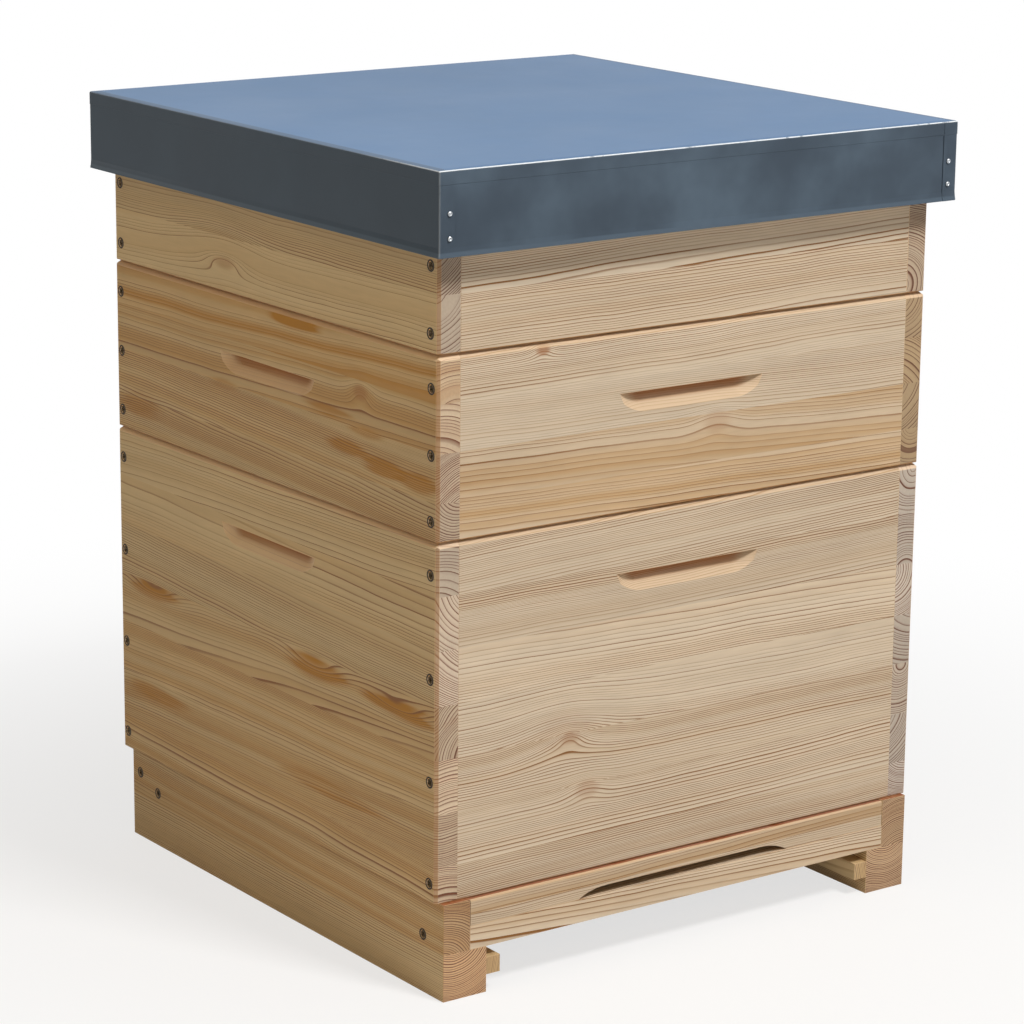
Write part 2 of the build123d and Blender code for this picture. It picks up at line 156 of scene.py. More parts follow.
class FastenerSettings(bpy.types.PropertyGroup):
    """Screws and rivets."""

    screw_steel: colour_setting("Screw steel", "Passivated steel of the screws", srgb(96, 78, 50))
    rivet_metal: colour_setting("Rivet metal", "Bright metal of the rivets", srgb(196, 202, 208))
    # Painted shade in the countersink round each screw head.
    bruise: colour_setting("Bruised wood", "Wood crushed by the screw heads", srgb(38, 26, 15))
    head_radius: length_setting("Head radius", "Radius of a screw's head", 3.7 * MM)
    shank_radius: length_setting("Shank radius", "Radius of a screw's shank", 2.2 * MM)
    head_height: length_setting("Head height", "Height of the countersunk head", 1.7 * MM)
    sink_radius: length_setting("Sink radius", "Radius of the crushed ring at the face", 5.1 * MM)


class FloorMeshSettings(bpy.types.PropertyGroup):
    """Welded wire under the brood box."""

    wire_pitch: length_setting("Wire pitch", "Distance from wire to wire", 4 * MM)
    wire_radius: length_setting("Wire radius", "Radius of one wire", 0.45 * MM)
    galvanised: colour_setting("Galvanised", "Zinc on the wires", srgb(158, 162, 165))


class FrameSettings(bpy.types.PropertyGroup):
    """Frames that hang in the boxes."""

    bar_colour: colour_setting("Bar", "Lime wood of the bars", srgb(214, 188, 150))
    wax_colour: colour_setting("Wax", "Beeswax foundation", srgb(216, 168, 74))
    cell_size: length_setting("Cell size", "Width of a cell pressed into the wax", 5.4 * MM)


class StageSettings(bpy.types.PropertyGroup):
    """Studio round the hive."""

    floor_colour: colour_setting("Floor", "Plain pale floor", (0.82, 0.82, 0.82))
    key_power: FloatProperty(name="Key", description="Power of the main lamp", unit="POWER", default=138)
    fill_power: FloatProperty(name="Fill", description="Power of the warm lamp", unit="POWER", default=17)
    top_power: FloatProperty(name="Top", description="Power of the lamp above", unit="POWER", default=14)
    sky_power: FloatProperty(name="Sky", description="Power of the cool lamp", unit="POWER", default=16)
    world_colour: colour_setting("World colour", "Warm light that fills the shade", (1.0, 0.84, 0.62))
    world_light: FloatProperty(name="World", description="Strength of the even light", default=0.13)


SETTINGS = {
    "hive_timber": TimberSettings,
    "hive_roof": RoofSettings,
    "hive_fasteners": FastenerSettings,
    "hive_floor_mesh": FloorMeshSettings,
    "hive_frames": FrameSettings,
    "hive_stage": StageSettings,
}


class Signal:
    """One output of a node tree. Sums written with it add Math nodes to the same tree."""

    def __init__(self, tree, socket=None):
        self.tree = tree
        self.socket = socket

    def node(self, kind, settings=None, sockets=None, out=0):
        """Add a node: its settings first, then the values or links of its sockets. Gives one output."""
        made = self.tree.nodes.new(kind)
        for name, value in (settings or {}).items():
            if name == "stops":
                fill_ramp(made.color_ramp, value)
            else:
                setattr(made, name, value)
        for key, value in (sockets or {}).items():
            socket = made.inputs[key]
            if isinstance(value, Signal):
                self.tree.links.new(value.socket, socket)
            elif socket.type == "RGBA":
                socket.default_value = (*value, 1.0)
            else:
                socket.default_value = value
        return Signal(self.tree, made.outputs[out] if made.outputs else None)

    def output(self, name):
        """Another output of the same node."""
        return Signal(self.tree, self.socket.node.outputs[name])

    def math(self, operation, first, second=0.0):
        """A Math node on one or two values."""
        return self.node("ShaderNodeMath", {"operation": operation}, {0: first, 1: second})

    def __add__(self, other):
        return self.math("ADD", self, other)

    def __radd__(self, other):
        return self.math("ADD", other, self)

    def __sub__(self, other):
        return self.math("SUBTRACT", self, other)

    def __rsub__(self, other):
        return self.math("SUBTRACT", other, self)

    def __mul__(self, other):
        return self.math("MULTIPLY", self, other)

    def __rmul__(self, other):
        return self.math("MULTIPLY", other, self)

    def __truediv__(self, other):
        return self.math("DIVIDE", self, other)

    def __rtruediv__(self, other):
        return self.math("DIVIDE", other, self)

    def __abs__(self):
        return self.math("ABSOLUTE", self)

    def squared(self):
        return self * self

    def root(self):
        return self.math("SQRT", self)

    def floor(self):
        return self.math("FLOOR", self)

    def fraction(self):
        return self.math("FRACT", self)

    def exponential(self):
        return self.math("EXPONENT", self)

    def least(self, other):
        return self.math("MINIMUM", self, other)

    def most(self, other):
        return self.math("MAXIMUM", self, other)

    def above(self, edge):
        return self.math("GREATER_THAN", self, edge)

    def rise(self, low, high):
        """0 up to low, 1 from high on, and smooth between."""
        ends = {"Value": self, "From Min": low, "From Max": high}
        return self.node("ShaderNodeMapRange", {"interpolation_type": "SMOOTHSTEP"}, ends)

    def between(self, low, high):
        """From low to high as this value goes from 0 to 1."""
        return self * (high - low) + low

    def mix(self, first, second):
        """Blend two colours, with this value as the second one's share."""
        return self.node("ShaderNodeMix", {"data_type": "RGBA"}, {0: self, 6: first, 7: second}, out=2)

    def scaled(self, factor):
        """A colour or vector times a value."""
        return self.node("ShaderNodeVectorMath", {"operation": "SCALE"}, {0: self, "Scale": factor})

    def parts(self):
        """The three parts of a vector."""
        split = self.node("ShaderNodeSeparateXYZ", sockets={0: self})
        return split, split.output("Y"), split.output("Z")

    def joined(self, x, y, z):
        """A vector made of three values."""
        return self.node("ShaderNodeCombineXYZ", sockets={0: x, 1: y, 2: z})

    def noise(self, scale, detail=2.0, roughness=0.5):
        """Smooth noise from 0 to 1 at this point."""
        sockets = {"Vector": self, "Scale": scale, "Detail": detail, "Roughness": roughness}
        return self.node("ShaderNodeTexNoise", sockets=sockets)

    def line_noise(self):
        """Smooth noise from -0.5 to 0.5 along this value."""
        sockets = {"W": self, "Scale": 1.0, "Detail": 1.0}
        return self.node("ShaderNodeTexNoise", {"noise_dimensions": "1D"}, sockets) - 0.5

    def draw(self):
        """A number from 0 to 1 drawn for this value."""
        return self.node("ShaderNodeTexWhiteNoise", {"noise_dimensions": "1D"}, {"W": self})


def fill_ramp(ramp, stops):
    """Grey levels that hold from each stop to the next."""
    ramp.interpolation = "CONSTANT"
    while len(ramp.elements) > 1:
        ramp.elements.remove(ramp.elements[-1])
    for index, (position, grey) in enumerate(stops):
        element = ramp.elements.new(position) if index else ramp.elements[0]
        element.position = position
        element.color = (grey, grey, grey, 1.0)


def new_material(name):
    """An empty material and a signal that starts its tree."""
    material = bpy.data.materials.new(name)
    material.use_nodes = True
    material.node_tree.nodes.clear()
    return material, Signal(material.node_tree)


def finish_material(shader, surface):
    """Join a shader's surface to the material's output."""
    shader.node("ShaderNodeOutputMaterial", sockets={"Surface": surface})


def object_place(shader):
    """Place of the shaded point in the hive's own frame."""
    return shader.node("ShaderNodeTexCoord", out="Object")


def face_way(shader, smooth=False):
    """Way that the shaded face looks, or the smoothed surface through it."""
    return shader.node("ShaderNodeNewGeometry", out="Normal" if smooth else "True Normal")


def principled(shader, **sockets):
    """A surface, its sockets given by name with underscores for spaces."""
    named = {key.replace("_", " "): value for key, value in sockets.items()}
    return shader.node("ShaderNodeBsdfPrincipled", sockets=named)


def bumped(shader, height, distance, strength=1.0):
    """A normal tilted by a height, in metres."""
    sockets = {"Height": height, "Distance": distance, "Strength": strength}
    return shader.node("ShaderNodeBump", sockets=sockets)


def surfaced(material, shader, **sockets):
    """The material, finished with one surface."""
    finish_material(shader, principled(shader, **sockets))
    return material


class Knot(NamedTuple):
    """A knot in a board's face, in millimetres.

    length and height are half sizes, lift is how far the ring lines rise over it and stain is the share of
    its colour.
    """

    along: float
    up: float
    length: float = 26
    height: float = 15
    lift: float = 8
    stain: float = 0.5


class Flame(NamedTuple):
    """A tongue of heart wood in a board's face, in millimetres.

    length and height are half sizes, depth is the share of its colour and swell how far it shifts the rings.
    """

    along: float
    up: float
    length: float
    height: float
    depth: float
    swell: float = 2


ONE_PIECE = 1.0
PLAIN = (1.0, 1.0, 1.0)


class Cut(NamedTuple):
    """How a board came out of the log, and what grew in it.

    grain names the way of its fibres and stave is the height of its glued staves. tint and milled are shares
    of the common colours. redness, end_tones and rings hold one value for each stave, from the lowest up, and
    are drawn by lot where they are empty. slant and reach say how far the piths lean and lie from the staves.
    """

    grain: str
    seed: int
    stave: float = ONE_PIECE
    tint: tuple = PLAIN
    milled: tuple = PLAIN
    redness: tuple = ()
    end_wood: tuple = ()
    end_tones: tuple = ()
    rings: tuple = ()
    contrast: float = 1.0
    slant: float = 0.8
    reach: tuple = (18 * MM, 62 * MM)
    knots: tuple = ()
    flames: tuple = ()


AXIS_ORDER = {"X": (0, 1, 2), "Y": (1, 0, 2), "Z": (2, 1, 0), "Y_row": (1, 2, 0)}
LEAST_STAVE = 0.25
TINY = 1e-6

# Noise in the wood: waves per metre along the grain and across it, and its detail where that is unusual
WANDER_NOISE = (2.2, 5.0)
RIPPLE_NOISE = (11.0, 30.0)
FADE_NOISE = (2.5, 24.0)
STREAK_NOISE = (9.0, 170.0)
CLOUD_NOISE = (6.0, 30.0, 3.0)
FIBRE_NOISE = (40.0, 480.0, 3.0)
UNEVEN_WAVES = 45.0
BAND_WAVES = 70.0

# Ranges in which each stave draws its own value by lot
SHIFTS = (0, 40)
RING_SHARES = (0.5, 1.3)
TAPERS = (-0.03, 0.03)
TONES = (0.94, 1.05)
END_TONES = (-0.08, 0.14)
RED_LOTS = (0, 0.9)

# Strengths of the rings, the tints, the painted shade, bounce light and highlights, and the marks of working
FACE_CONTRAST = 1.35
END_CONTRAST = 1.12
END_LINE_GAIN = 1.6
LINE_SHARE = 0.85
FAINTEST_YEAR = 0.4
RING_CROWDING = 10.0
RING_UNEVENNESS = 5.0
GRAIN_RELIEF = 0.12 * MM
ARRIS_REACH = 2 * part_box("brood_left_wall")[1].y - 3 * MM
ARRIS_TINT = 0.5
END_SHARE = 0.85
FOOT_SHADE = 0.8
SEAM_SHARE = 0.85
SILL_SHARE = 0.8
SILL_LEDGE = 6 * MM
MILLED_SHARE = 0.55
HOLLOW_SHADE_SHARE = 0.9

# Hand-holds, from the top of a wall and from its middle
HOLD_DROP = 53.5 * MM
HOLD_HEIGHT = 18 * MM
HOLD_DEPTH = 9 * MM
HOLD_REACH = 84 * MM


def stave_edges(low, high, stave):
    """A board's lower edge, its glue lines, which are measured from the top, and its upper edge."""
    edges = [high]
    while edges[-1] - stave > low + stave * LEAST_STAVE:
        edges.append(edges[-1] - stave)
    return [low, *reversed(edges[1:]), high] if len(edges) > 1 else [low, high]


def tinted(colour, tint):
    """A colour times a share for each of its parts."""
    return tuple(c * t for c, t in zip(colour, tint))


class Grain:
    """One board's directions, its glued staves, and what each stave drew by lot."""

    def __init__(self, shader, low, high, cut):
        self.shader = shader
        self.low = low
        self.high = high
        self.cut = cut
        order = AXIS_ORDER[cut.grain]
        places = object_place(shader).parts()
        self.along, self.across, self.up = (places[axis] for axis in order)
        self.depth = places[1]
        self.faces = face_way(shader).parts()
        self.end = abs(self.faces[order[0]]).rise(0.5, 0.7)
        self.corner = (abs(places[0]) + abs(places[1])).rise(ARRIS_REACH - MM, ARRIS_REACH)
        self.edges = stave_edges(low[order[2]], high[order[2]], cut.stave)
        self.middles = [(a + b) / 2 for a, b in zip(self.edges, self.edges[1:])]
        self.middle_across = (low[order[1]] + high[order[1]]) / 2
        self.lots = random.Random(cut.seed)
        self.shift = self.by_stave(self.drawn(SHIFTS))

    def drawn(self, limits):
        """One number by lot for each stave."""
        return [self.lots.uniform(*limits) for _ in self.middles]

    def by_stave(self, values):
        """A value that holds over each stave."""
        if len(values) == 1:
            return values[0]
        low, high = self.edges[0], self.edges[-1]
        least = min(values)
        span = max(max(values) - least, TINY)
        stops = [
            ((edge - low) / (high - low), (value - least) / span)
            for edge, value in zip(self.edges, values)
        ]
        share = (self.up - low) / (high - low)
        return share.node("ShaderNodeValToRGB", {"stops": stops}, {"Fac": share}) * span + least

    def noise(self, along_scale, cross_scale, detail=2.0):
        """Noise drawn out along the grain."""
        point = self.shader.joined(
            self.along * along_scale + self.shift, self.across * cross_scale, self.up * cross_scale
        )
        return point.noise(1.0, detail)

    def patch(self, spot):
        """1 in the middle of a knot or flame, falling off over its half sizes."""
        along = (self.along - spot.along * MM) / (spot.length * MM)
        up = (self.up - spot.up * MM) / (spot.height * MM)
        return ((along.squared() + up.squared()) * -1.0).exponential()


def growth_rings(grain):
    """Share of the year's ring at each point, the dark line at its edge and a tone over several years."""
    timber = bpy.context.scene.hive_timber
    cut = grain.cut
    sides = [grain.lots.choice((-1, 1)) for _ in grain.middles]
    leans = grain.drawn((-cut.slant, cut.slant))
    turns = [side * pi / 2 + lean for side, lean in zip(sides, leans)]
    reaches = grain.drawn(cut.reach)
    pith_across = grain.by_stave([grain.middle_across + r * cos(t) for r, t in zip(reaches, turns)])
    pith_up = grain.by_stave([m + r * sin(t) for m, r, t in zip(grain.middles, reaches, turns)])
    shares = cut.rings or grain.drawn(RING_SHARES)
    ring_width = grain.by_stave([timber.ring_width * share for share in shares])
    taper = grain.by_stave(grain.drawn(TAPERS))
    wander = (grain.noise(*WANDER_NOISE) - 0.5) * timber.wander
    ripple = (grain.noise(*RIPPLE_NOISE) - 0.5) * timber.ripple
    over = grain.up + (wander + ripple) - pith_up
    for knot in cut.knots:
        over = over - grain.patch(knot) * (knot.lift * MM)
    radius = ((grain.across - pith_across).squared() + over.squared()).root() + grain.along * taper
    for flame in cut.flames:
        radius = radius + grain.patch(flame) * (flame.swell * MM)
    unevenness = (radius * UNEVEN_WAVES + grain.shift).line_noise() * RING_UNEVENNESS
    phase = radius / ring_width * (radius * RING_CROWDING + 1.0) + unevenness
    ring = phase.fraction()
    year = (phase.floor() + grain.shift).draw()
    inside = (1.0 - ring) * ring_width / (radius * (2 * RING_CROWDING) + 1.0)
    line_width = grain.end.between(1.0, END_LINE_GAIN) * timber.line_width
    line = 1.0 - inside.rise(0.3 * timber.line_width, line_width)
    late = line * LINE_SHARE + ring.rise(0.2, 1.0) * (1 - LINE_SHARE)
    band = (radius * BAND_WAVES + grain.shift * 2.0).line_noise() + 0.5
    return ring, late * year.between(FAINTEST_YEAR, 1.0), band


def grown_wood(grain):
    """Colour of the wood as it grew, its late wood and its fibre."""
    timber = bpy.context.scene.hive_timber
    cut = grain.cut
    ring, late, band = growth_rings(grain)
    tone = grain.by_stave(grain.drawn(TONES))
    end_tone = grain.by_stave(cut.end_tones or grain.drawn(END_TONES)) * grain.end
    redness = grain.by_stave(cut.redness or [lot**2 for lot in grain.drawn(RED_LOTS)])
    early_wood, late_wood, heart_wood, knot_wood = (
        tinted(colour, cut.tint)
        for colour in (timber.early_wood, timber.late_wood, timber.heart_wood, timber.knot_wood)
    )
    fibre = grain.noise(*FIBRE_NOISE)
    cloud = grain.noise(*CLOUD_NOISE)
    streak = grain.noise(*STREAK_NOISE)
    late = late * grain.noise(*FADE_NOISE).rise(0.35, 0.65).most(grain.end).between(0.55, 1.25)
    heart = band.rise(0.3, 0.7).between(0.4, 1.0) * redness * ring.between(0.7, 1.0)
    for flame in cut.flames:
        tongue = (grain.patch(flame) * (streak * 2.0)).rise(0.25, 0.8)
        heart = tongue * flame.depth * ring.between(0.5, 1.0) + heart
    sap = heart.least(1.0).mix(early_wood, heart_wood)
    sap = (grain.end * (1.0 - redness * 0.5) * END_SHARE).mix(sap, cut.end_wood or timber.end_grain)
    contrast = grain.end.between(FACE_CONTRAST, END_CONTRAST) * cut.contrast
    wood = (late * contrast).least(1.0).mix(sap, grain.end.mix(late_wood, timber.end_line))
    for knot in cut.knots:
        wood = (grain.patch(knot).rise(0.55, 0.98) * knot.stain).mix(wood, knot_wood)
    wood = wood.scaled((fibre * 0.22 + cloud * 0.26 + 0.77) * (end_tone + tone))
    return wood, late, fibre


def hold_depth(grain):
    """0 at a wall's outer face and 1 from its hand-hold's back inwards, but 0 above, below and beside that."""
    low, high = grain.low, grain.high
    axis = AXIS_ORDER[grain.cut.grain][1]
    outer = high[axis] if high[axis] > -low[axis] else low[axis]
    depth = abs(grain.across - outer).rise(HOLD_DEPTH / 2, HOLD_DEPTH)
    drop = grain.up - (high.z - HOLD_DROP)
    beside = abs(grain.along).rise(HOLD_REACH, HOLD_REACH + MM)
    return depth * drop.above(-HOLD_HEIGHT) * (1.0 - drop.above(MM)) * (1.0 - beside)


def worked_wood(grain, wood, seam):
    """The wood with its milled cuts, partly lightened as a painted highlight, a darker tint on its corner
    arrises, painted shade at its foot and deep in its hand-holds, painted warm bounce light in its seams and
    on its down-facing slopes, and dark red on the floor's top faces.
    """
    timber = bpy.context.scene.hive_timber
    cut, low, high = grain.cut, grain.low, grain.high
    x_way, y_way, z_way = grain.faces
    arris = (abs(x_way) * abs(y_way)).rise(0.2, 0.45) * grain.corner
    slope = abs(z_way).rise(0.3, 0.6) * (1.0 - abs(z_way).rise(0.85, 0.95))
    # Painted warm bounce light on down-facing slopes, such as the eased feet and the hand-hold ledges.
    underside_glow = slope * (1.0 - z_way.above(0.0))
    squareness = 0.0
    for part in face_way(grain.shader, smooth=True).parts():
        squareness = abs(part).most(squareness)
    # Partly fresh-cut wood, partly painted highlight on the chamfers and hand-hold lips.
    milled = (1.0 - squareness.rise(0.9, 0.985)) * (1.0 - arris) * MILLED_SHARE
    wood = milled.mix(wood, tinted(timber.milled_wood, cut.milled))
    wood = (underside_glow * SEAM_SHARE).mix(wood, timber.seam_wood)
    # Darker orange tint on the diagonal faces of the corner arrises.
    stain = arris * ARRIS_TINT
    if seam == "box":
        # Painted shade: a darker orange line along the foot of a box, where it sits on the one below.
        foot = (grain.up - low.z).rise(0.3 * timber.foot_stain, timber.foot_stain)
        stain = stain.most(FOOT_SHADE - foot)
        # Painted warm bounce light on the shaded upper part of the top chamfer, under the box above.
        chamfer = (grain.up - high.z).rise(-timber.seam_stain, -0.6 * timber.seam_stain)
        wood = (chamfer * slope * SEAM_SHARE).mix(wood, timber.seam_wood)
        # Painted shade: deeper in a hand-hold the wood turns a darker, warmer brown.
        wood = (hold_depth(grain) * HOLLOW_SHADE_SHARE).mix(wood, tinted(timber.hollow_wood, cut.tint))
    if seam == "sill":
        # Dark red on the front part of the top face, before the brood box.
        top = (grain.up - high.z).rise(-timber.edge_ease, 0.0) * z_way.rise(0.8, 0.95)
        ledge = 1.0 - (grain.depth - low.y).rise(SILL_LEDGE, SILL_LEDGE + MM)
        wood = (top * ledge * SILL_SHARE).mix(wood, timber.sill_wood)
    return stain.mix(wood, timber.edge_wood)


def pine(name, low, high, cut, seam=""):
    """Glued pine staves: rings lie round each stave's own pith, so its faces and end grain agree."""
    material, shader = new_material(name)
    grain = Grain(shader, low, high, cut)
    wood, late, fibre = grown_wood(grain)
    return surfaced(
        material,
        shader,
        Base_Color=worked_wood(grain, wood, seam),
        Roughness=0.66 - late * 0.12 + fibre * 0.08,
        Normal=bumped(shader, late * 0.5 + fibre, GRAIN_RELIEF, strength=0.5),
    )


FLUSH = 0.05 * MM
WELD = 0.005 * MM
SQUARE = 0.999


def islands(mesh):
    """The separate solids of a mesh, each as a set of its corners."""
    unseen = set(mesh.verts)
    while unseen:
        island = set()
        front = [unseen.pop()]
        while front:
            corner = front.pop()
            island.add(corner)
            for edge in corner.link_edges:
                other = edge.other_vert(corner)
                if other in unseen:
                    unseen.remove(other)
                    front.append(other)
        yield island


def merged_copy(node):
    """The mesh of a CAD piece with its loose triangles joined."""
    mesh = bmesh.new()
    mesh.from_mesh(frame["nodes"][node].data)
    bmesh.ops.remove_doubles(mesh, verts=mesh.verts, dist=WELD)
    return mesh


def ease_edges(mesh, width, shortest=8 * MM, sharpest=radians(35)):
    """Round the long sharp edges of a mesh a little."""
    sharp = [
        edge
        for edge in mesh.edges
        if edge.is_manifold and edge.calc_length() > shortest and edge.calc_face_angle() > sharpest
    ]
    bmesh.ops.bevel(
        mesh, geom=sharp, offset=width, segments=2, profile=0.5, affect="EDGES", clamp_overlap=False
    )


def ease_foot(mesh, low, high, width):
    """Chamfer the outer lower edges of a wall."""
    outer = max(abs(value) for corner in (low, high) for value in corner[:2])

    def lies_outside(corner):
        x, y, z = corner.co
        return abs(z - low.z) < FLUSH and max(abs(x), abs(y)) > outer - FLUSH

    edges = [edge for edge in mesh.edges if all(lies_outside(corner) for corner in edge.verts)]
    bmesh.ops.bevel(mesh, geom=edges, offset=width, segments=1, affect="EDGES", clamp_overlap=False)


def link_mesh(name, mesh, materials):
    """A finished bmesh as an object at the origin."""
    data = bpy.data.meshes.new(name)
    mesh.to_mesh(data)
    mesh.free()
    for material in materials:
        data.materials.append(material)
    return link_object(name, data)


def link_object(name, data):
    """A new object at the origin, in the scene."""
    thing = bpy.data.objects.new(name, data)
    bpy.context.scene.collection.objects.link(thing)
    return thing


def smooth_by_angle(thing, angle=radians(15)):
    """Smooth shading that keeps the sharp edges and the faces that lie square to the hive."""
    thing.data.shade_smooth()
    thing.data.set_sharp_from_angle(angle=angle)
    for face in thing.data.polygons:
        face.use_smooth = max(abs(part) for part in face.normal) < SQUARE


def settle(thing, node):
    """Let a piece stand for a CAD piece and ride on its body."""
    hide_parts(node)
    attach(thing, frame["nodes"][node]["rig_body"])


def stand(name, mesh, materials, node):
    """Stand a finished bmesh in a CAD piece's place."""
    thing = link_mesh(name, mesh, materials)
    smooth_by_angle(thing)
    settle(thing, node)


def dress_timber(node, cut, seam=""):
    """Stand an eased board with its own cut of pine in a CAD board's place."""
    timber = bpy.context.scene.hive_timber
    mesh = merged_copy(node)
    low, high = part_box(node)
    if seam == "box":
        ease_foot(mesh, low, high, timber.foot_ease)
    ease_edges(mesh, timber.edge_ease)
    stand(f"{node}_timber", mesh, [pine(f"{node}_pine", low, high, cut, seam)], node)


# Warmer, more golden tone of the side boards: partly their own wood, partly painted warm shade of the sides.
SIDE_TINT_AND_SHADE = (1.0, 0.92, 0.68)
# Painted highlight: on the side walls the chamfers and hand-hold lips are lightened further, for the light
# from above.
SIDE_MILLED_HIGHLIGHT = (1.4, 1.48, 1.65)
STRIP_TINT = (0.91, 0.89, 0.87)
BROOD_STAVE = 46.6 * MM
SUPER_STAVE = 41 * MM
RIM_STAVE = 52 * MM
RAIL_STAVE = 45 * MM
STRIP_STAVE = 13 * MM
STRAIGHT_REACH = (36 * MM, 80 * MM)

WALL_CUTS = {
    "brood_front_wall": Cut(
        "X", 11, BROOD_STAVE, contrast=1.1, slant=0.4, reach=STRAIGHT_REACH,
        redness=(0.3, 0.2, 0.25, 0.15, 0.2, 0.25, 0.2),
        rings=(0.9, 1.1, 1.1, 1.1, 1.2, 1.0, 0.95),
        knots=(
            Knot(-128, 214, 50, 34, 11, 0.12),
            Knot(-123, 207, 17, 10, 6, 0.35),
            Knot(-104, 158, 22, 14, 7, 0.3),
        ),
    ),
    "brood_back_wall": Cut("X", 12, BROOD_STAVE, knots=(Knot(90, 300),)),
    "brood_left_wall": Cut(
        "Y", 73, BROOD_STAVE, SIDE_TINT_AND_SHADE, SIDE_MILLED_HIGHLIGHT, reach=STRAIGHT_REACH,
        redness=(0.7, 0.7, 0.65, 0.65, 0.3, 0.35, 0.3),
        end_tones=(0.08, 0.02, 0.24, -0.02, 0.28, 0.18, -0.06),
        rings=(1.2, 1.2, 1.2, 1.0, 1.2, 1.6, 1.6),
        flames=(
            Flame(-76, 246, 52, 12, 0.9, 9),
            Flame(-208, 241, 60, 10, 0.9, 8),
            Flame(196, 249, 48, 9, 0.7, 7),
            Flame(195, 151, 60, 10, 0.6),
            Flame(-100, 141, 90, 8, 0.5),
        ),
    ),
    "brood_right_wall": Cut(
        "Y", 14, BROOD_STAVE, SIDE_TINT_AND_SHADE, SIDE_MILLED_HIGHLIGHT, end_wood=srgb(186, 177, 170), knots=(Knot(-60, 180),)
    ),
    "super_front_wall": Cut(
        "X", 15, SUPER_STAVE, contrast=0.85, slant=0.5, reach=STRAIGHT_REACH,
        redness=(0.8, 0.75, 0.2, 0.2),
        rings=(1.8, 1.7, 0.9, 0.8),
        knots=(Knot(-156, 544, 13, 8, 5, 0.75), Knot(28, 462, 26, 18, 7, 0.25)),
    ),
    "super_back_wall": Cut("X", 16, SUPER_STAVE),
    "super_left_wall": Cut(
        "Y", 17, SUPER_STAVE, SIDE_TINT_AND_SHADE, SIDE_MILLED_HIGHLIGHT,
        redness=(0.6, 0.55, 0.75, 1.0),
        rings=(0.7, 0.8, 1.7, 1.6),
        knots=(Knot(-147, 500, 18, 12, 11, 0.45),),
        flames=(
            Flame(-48, 542, 44, 6, 0.9),
            Flame(-96, 476, 42, 6, 0.6),
            Flame(69, 468, 30, 5, 0.5),
            Flame(-157, 467, 30, 5, 0.6),
            Flame(-127, 450, 34, 8, 0.7),
            Flame(-180, 443, 34, 9, 0.8),
            Flame(-235, 440, 34, 9, 0.7),
            Flame(219, 422, 40, 14, 0.5),
        ),
    ),
    "super_right_wall": Cut(
        "Y", 18, SUPER_STAVE, SIDE_TINT_AND_SHADE, SIDE_MILLED_HIGHLIGHT, end_wood=srgb(186, 158, 124),
        end_tones=(-0.22, -0.26, -0.22, -0.26),
        rings=(1.5, 1.4, 1.6, 1.5),
        knots=(Knot(150, 440),),
    ),
    "rim_front_board": Cut(
        "X", 19, RIM_STAVE, redness=(0.3, 0.08), rings=(1.1, 0.7), slant=0.5, reach=STRAIGHT_REACH
    ),
    "rim_back_board": Cut("X", 20),
    "rim_left_board": Cut(
        "Y", 21, RIM_STAVE, SIDE_TINT_AND_SHADE, SIDE_MILLED_HIGHLIGHT,
        redness=(0.3, 0.35),
        end_tones=(-0.18, -0.12),
        rings=(1.8, 1.1),
        knots=(Knot(68, 576, 30, 9, 9, 0.4), Knot(75, 590, 70, 26, 12, 0.0)),
    ),
    "rim_right_board": Cut("Y", 22, tint=SIDE_TINT_AND_SHADE, milled=SIDE_MILLED_HIGHLIGHT, end_tones=(-0.1,)),
}

FLOOR_CUTS = {
    "left_rail": Cut(
        "Y", 31, RAIL_STAVE, SIDE_TINT_AND_SHADE, end_wood=srgb(192, 152, 116), reach=STRAIGHT_REACH,
        redness=(0.3, 0.8),
        end_tones=(0.12, -0.16),
        rings=(0.7, 0.9),
    ),
    "right_rail": Cut(
        "Y", 32, RAIL_STAVE, SIDE_TINT_AND_SHADE, end_wood=srgb(190, 158, 128), reach=STRAIGHT_REACH,
        redness=(0.35, 0.6),
        rings=(0.6, 0.7),
    ),
    "front_sill": Cut("X", 33),
    "rear_floor_board": Cut("X", 34),
    "rear_bar": Cut("X", 35),
    "mesh_battens": Cut("Y", 36),
    "tray_runners": Cut(
        "Y", 37, tint=SIDE_TINT_AND_SHADE, redness=(0.5,), end_wood=srgb(206, 172, 124), rings=(1.6,), contrast=0.6
    ),
    "entrance_strip": Cut(
        "X", 38, STRIP_STAVE, STRIP_TINT, redness=(0.2, 0.65), rings=(1.2, 1.7), reach=STRAIGHT_REACH
    ),
}

RED_TOPPED = ("left_rail", "right_rail", "entrance_strip")

COVER_CUTS = {"inner_cover_cleats": Cut("X", 41)}

ROOF_CUTS = {
    "roof_front_board": Cut("X", 51),
    "roof_back_board": Cut("X", 52),
    "roof_left_board": Cut("Y", 53),
    "roof_right_board": Cut("Y", 54),
}


class HIVE_OT_walls(bpy.types.Operator):
    """Dress the walls of the brood box, the super and the rim"""

    bl_idname = "hive.walls"
    bl_label = "Box walls"

    def execute(self, context):
        for node, cut in WALL_CUTS.items():
            dress_timber(node, cut, "box")
        return {"FINISHED"}


class HIVE_OT_floor(bpy.types.Operator):
    """Dress the rails, cross pieces, battens, runners and the entrance strip"""

    bl_idname = "hive.floor"
    bl_label = "Floor timber"

    def execute(self, context):
        for node, cut in FLOOR_CUTS.items():
            dress_timber(node, cut, "sill" if node in RED_TOPPED else "")
        return {"FINISHED"}


PLY_PAIR = 3.4 * MM
VENEER_FIGURE = (2.2, 9.0)
VENEER_FIBRE = (30.0, 900.0)
VENEER_BANDS = 16.0
VENEER_RELIEF = 0.1 * MM


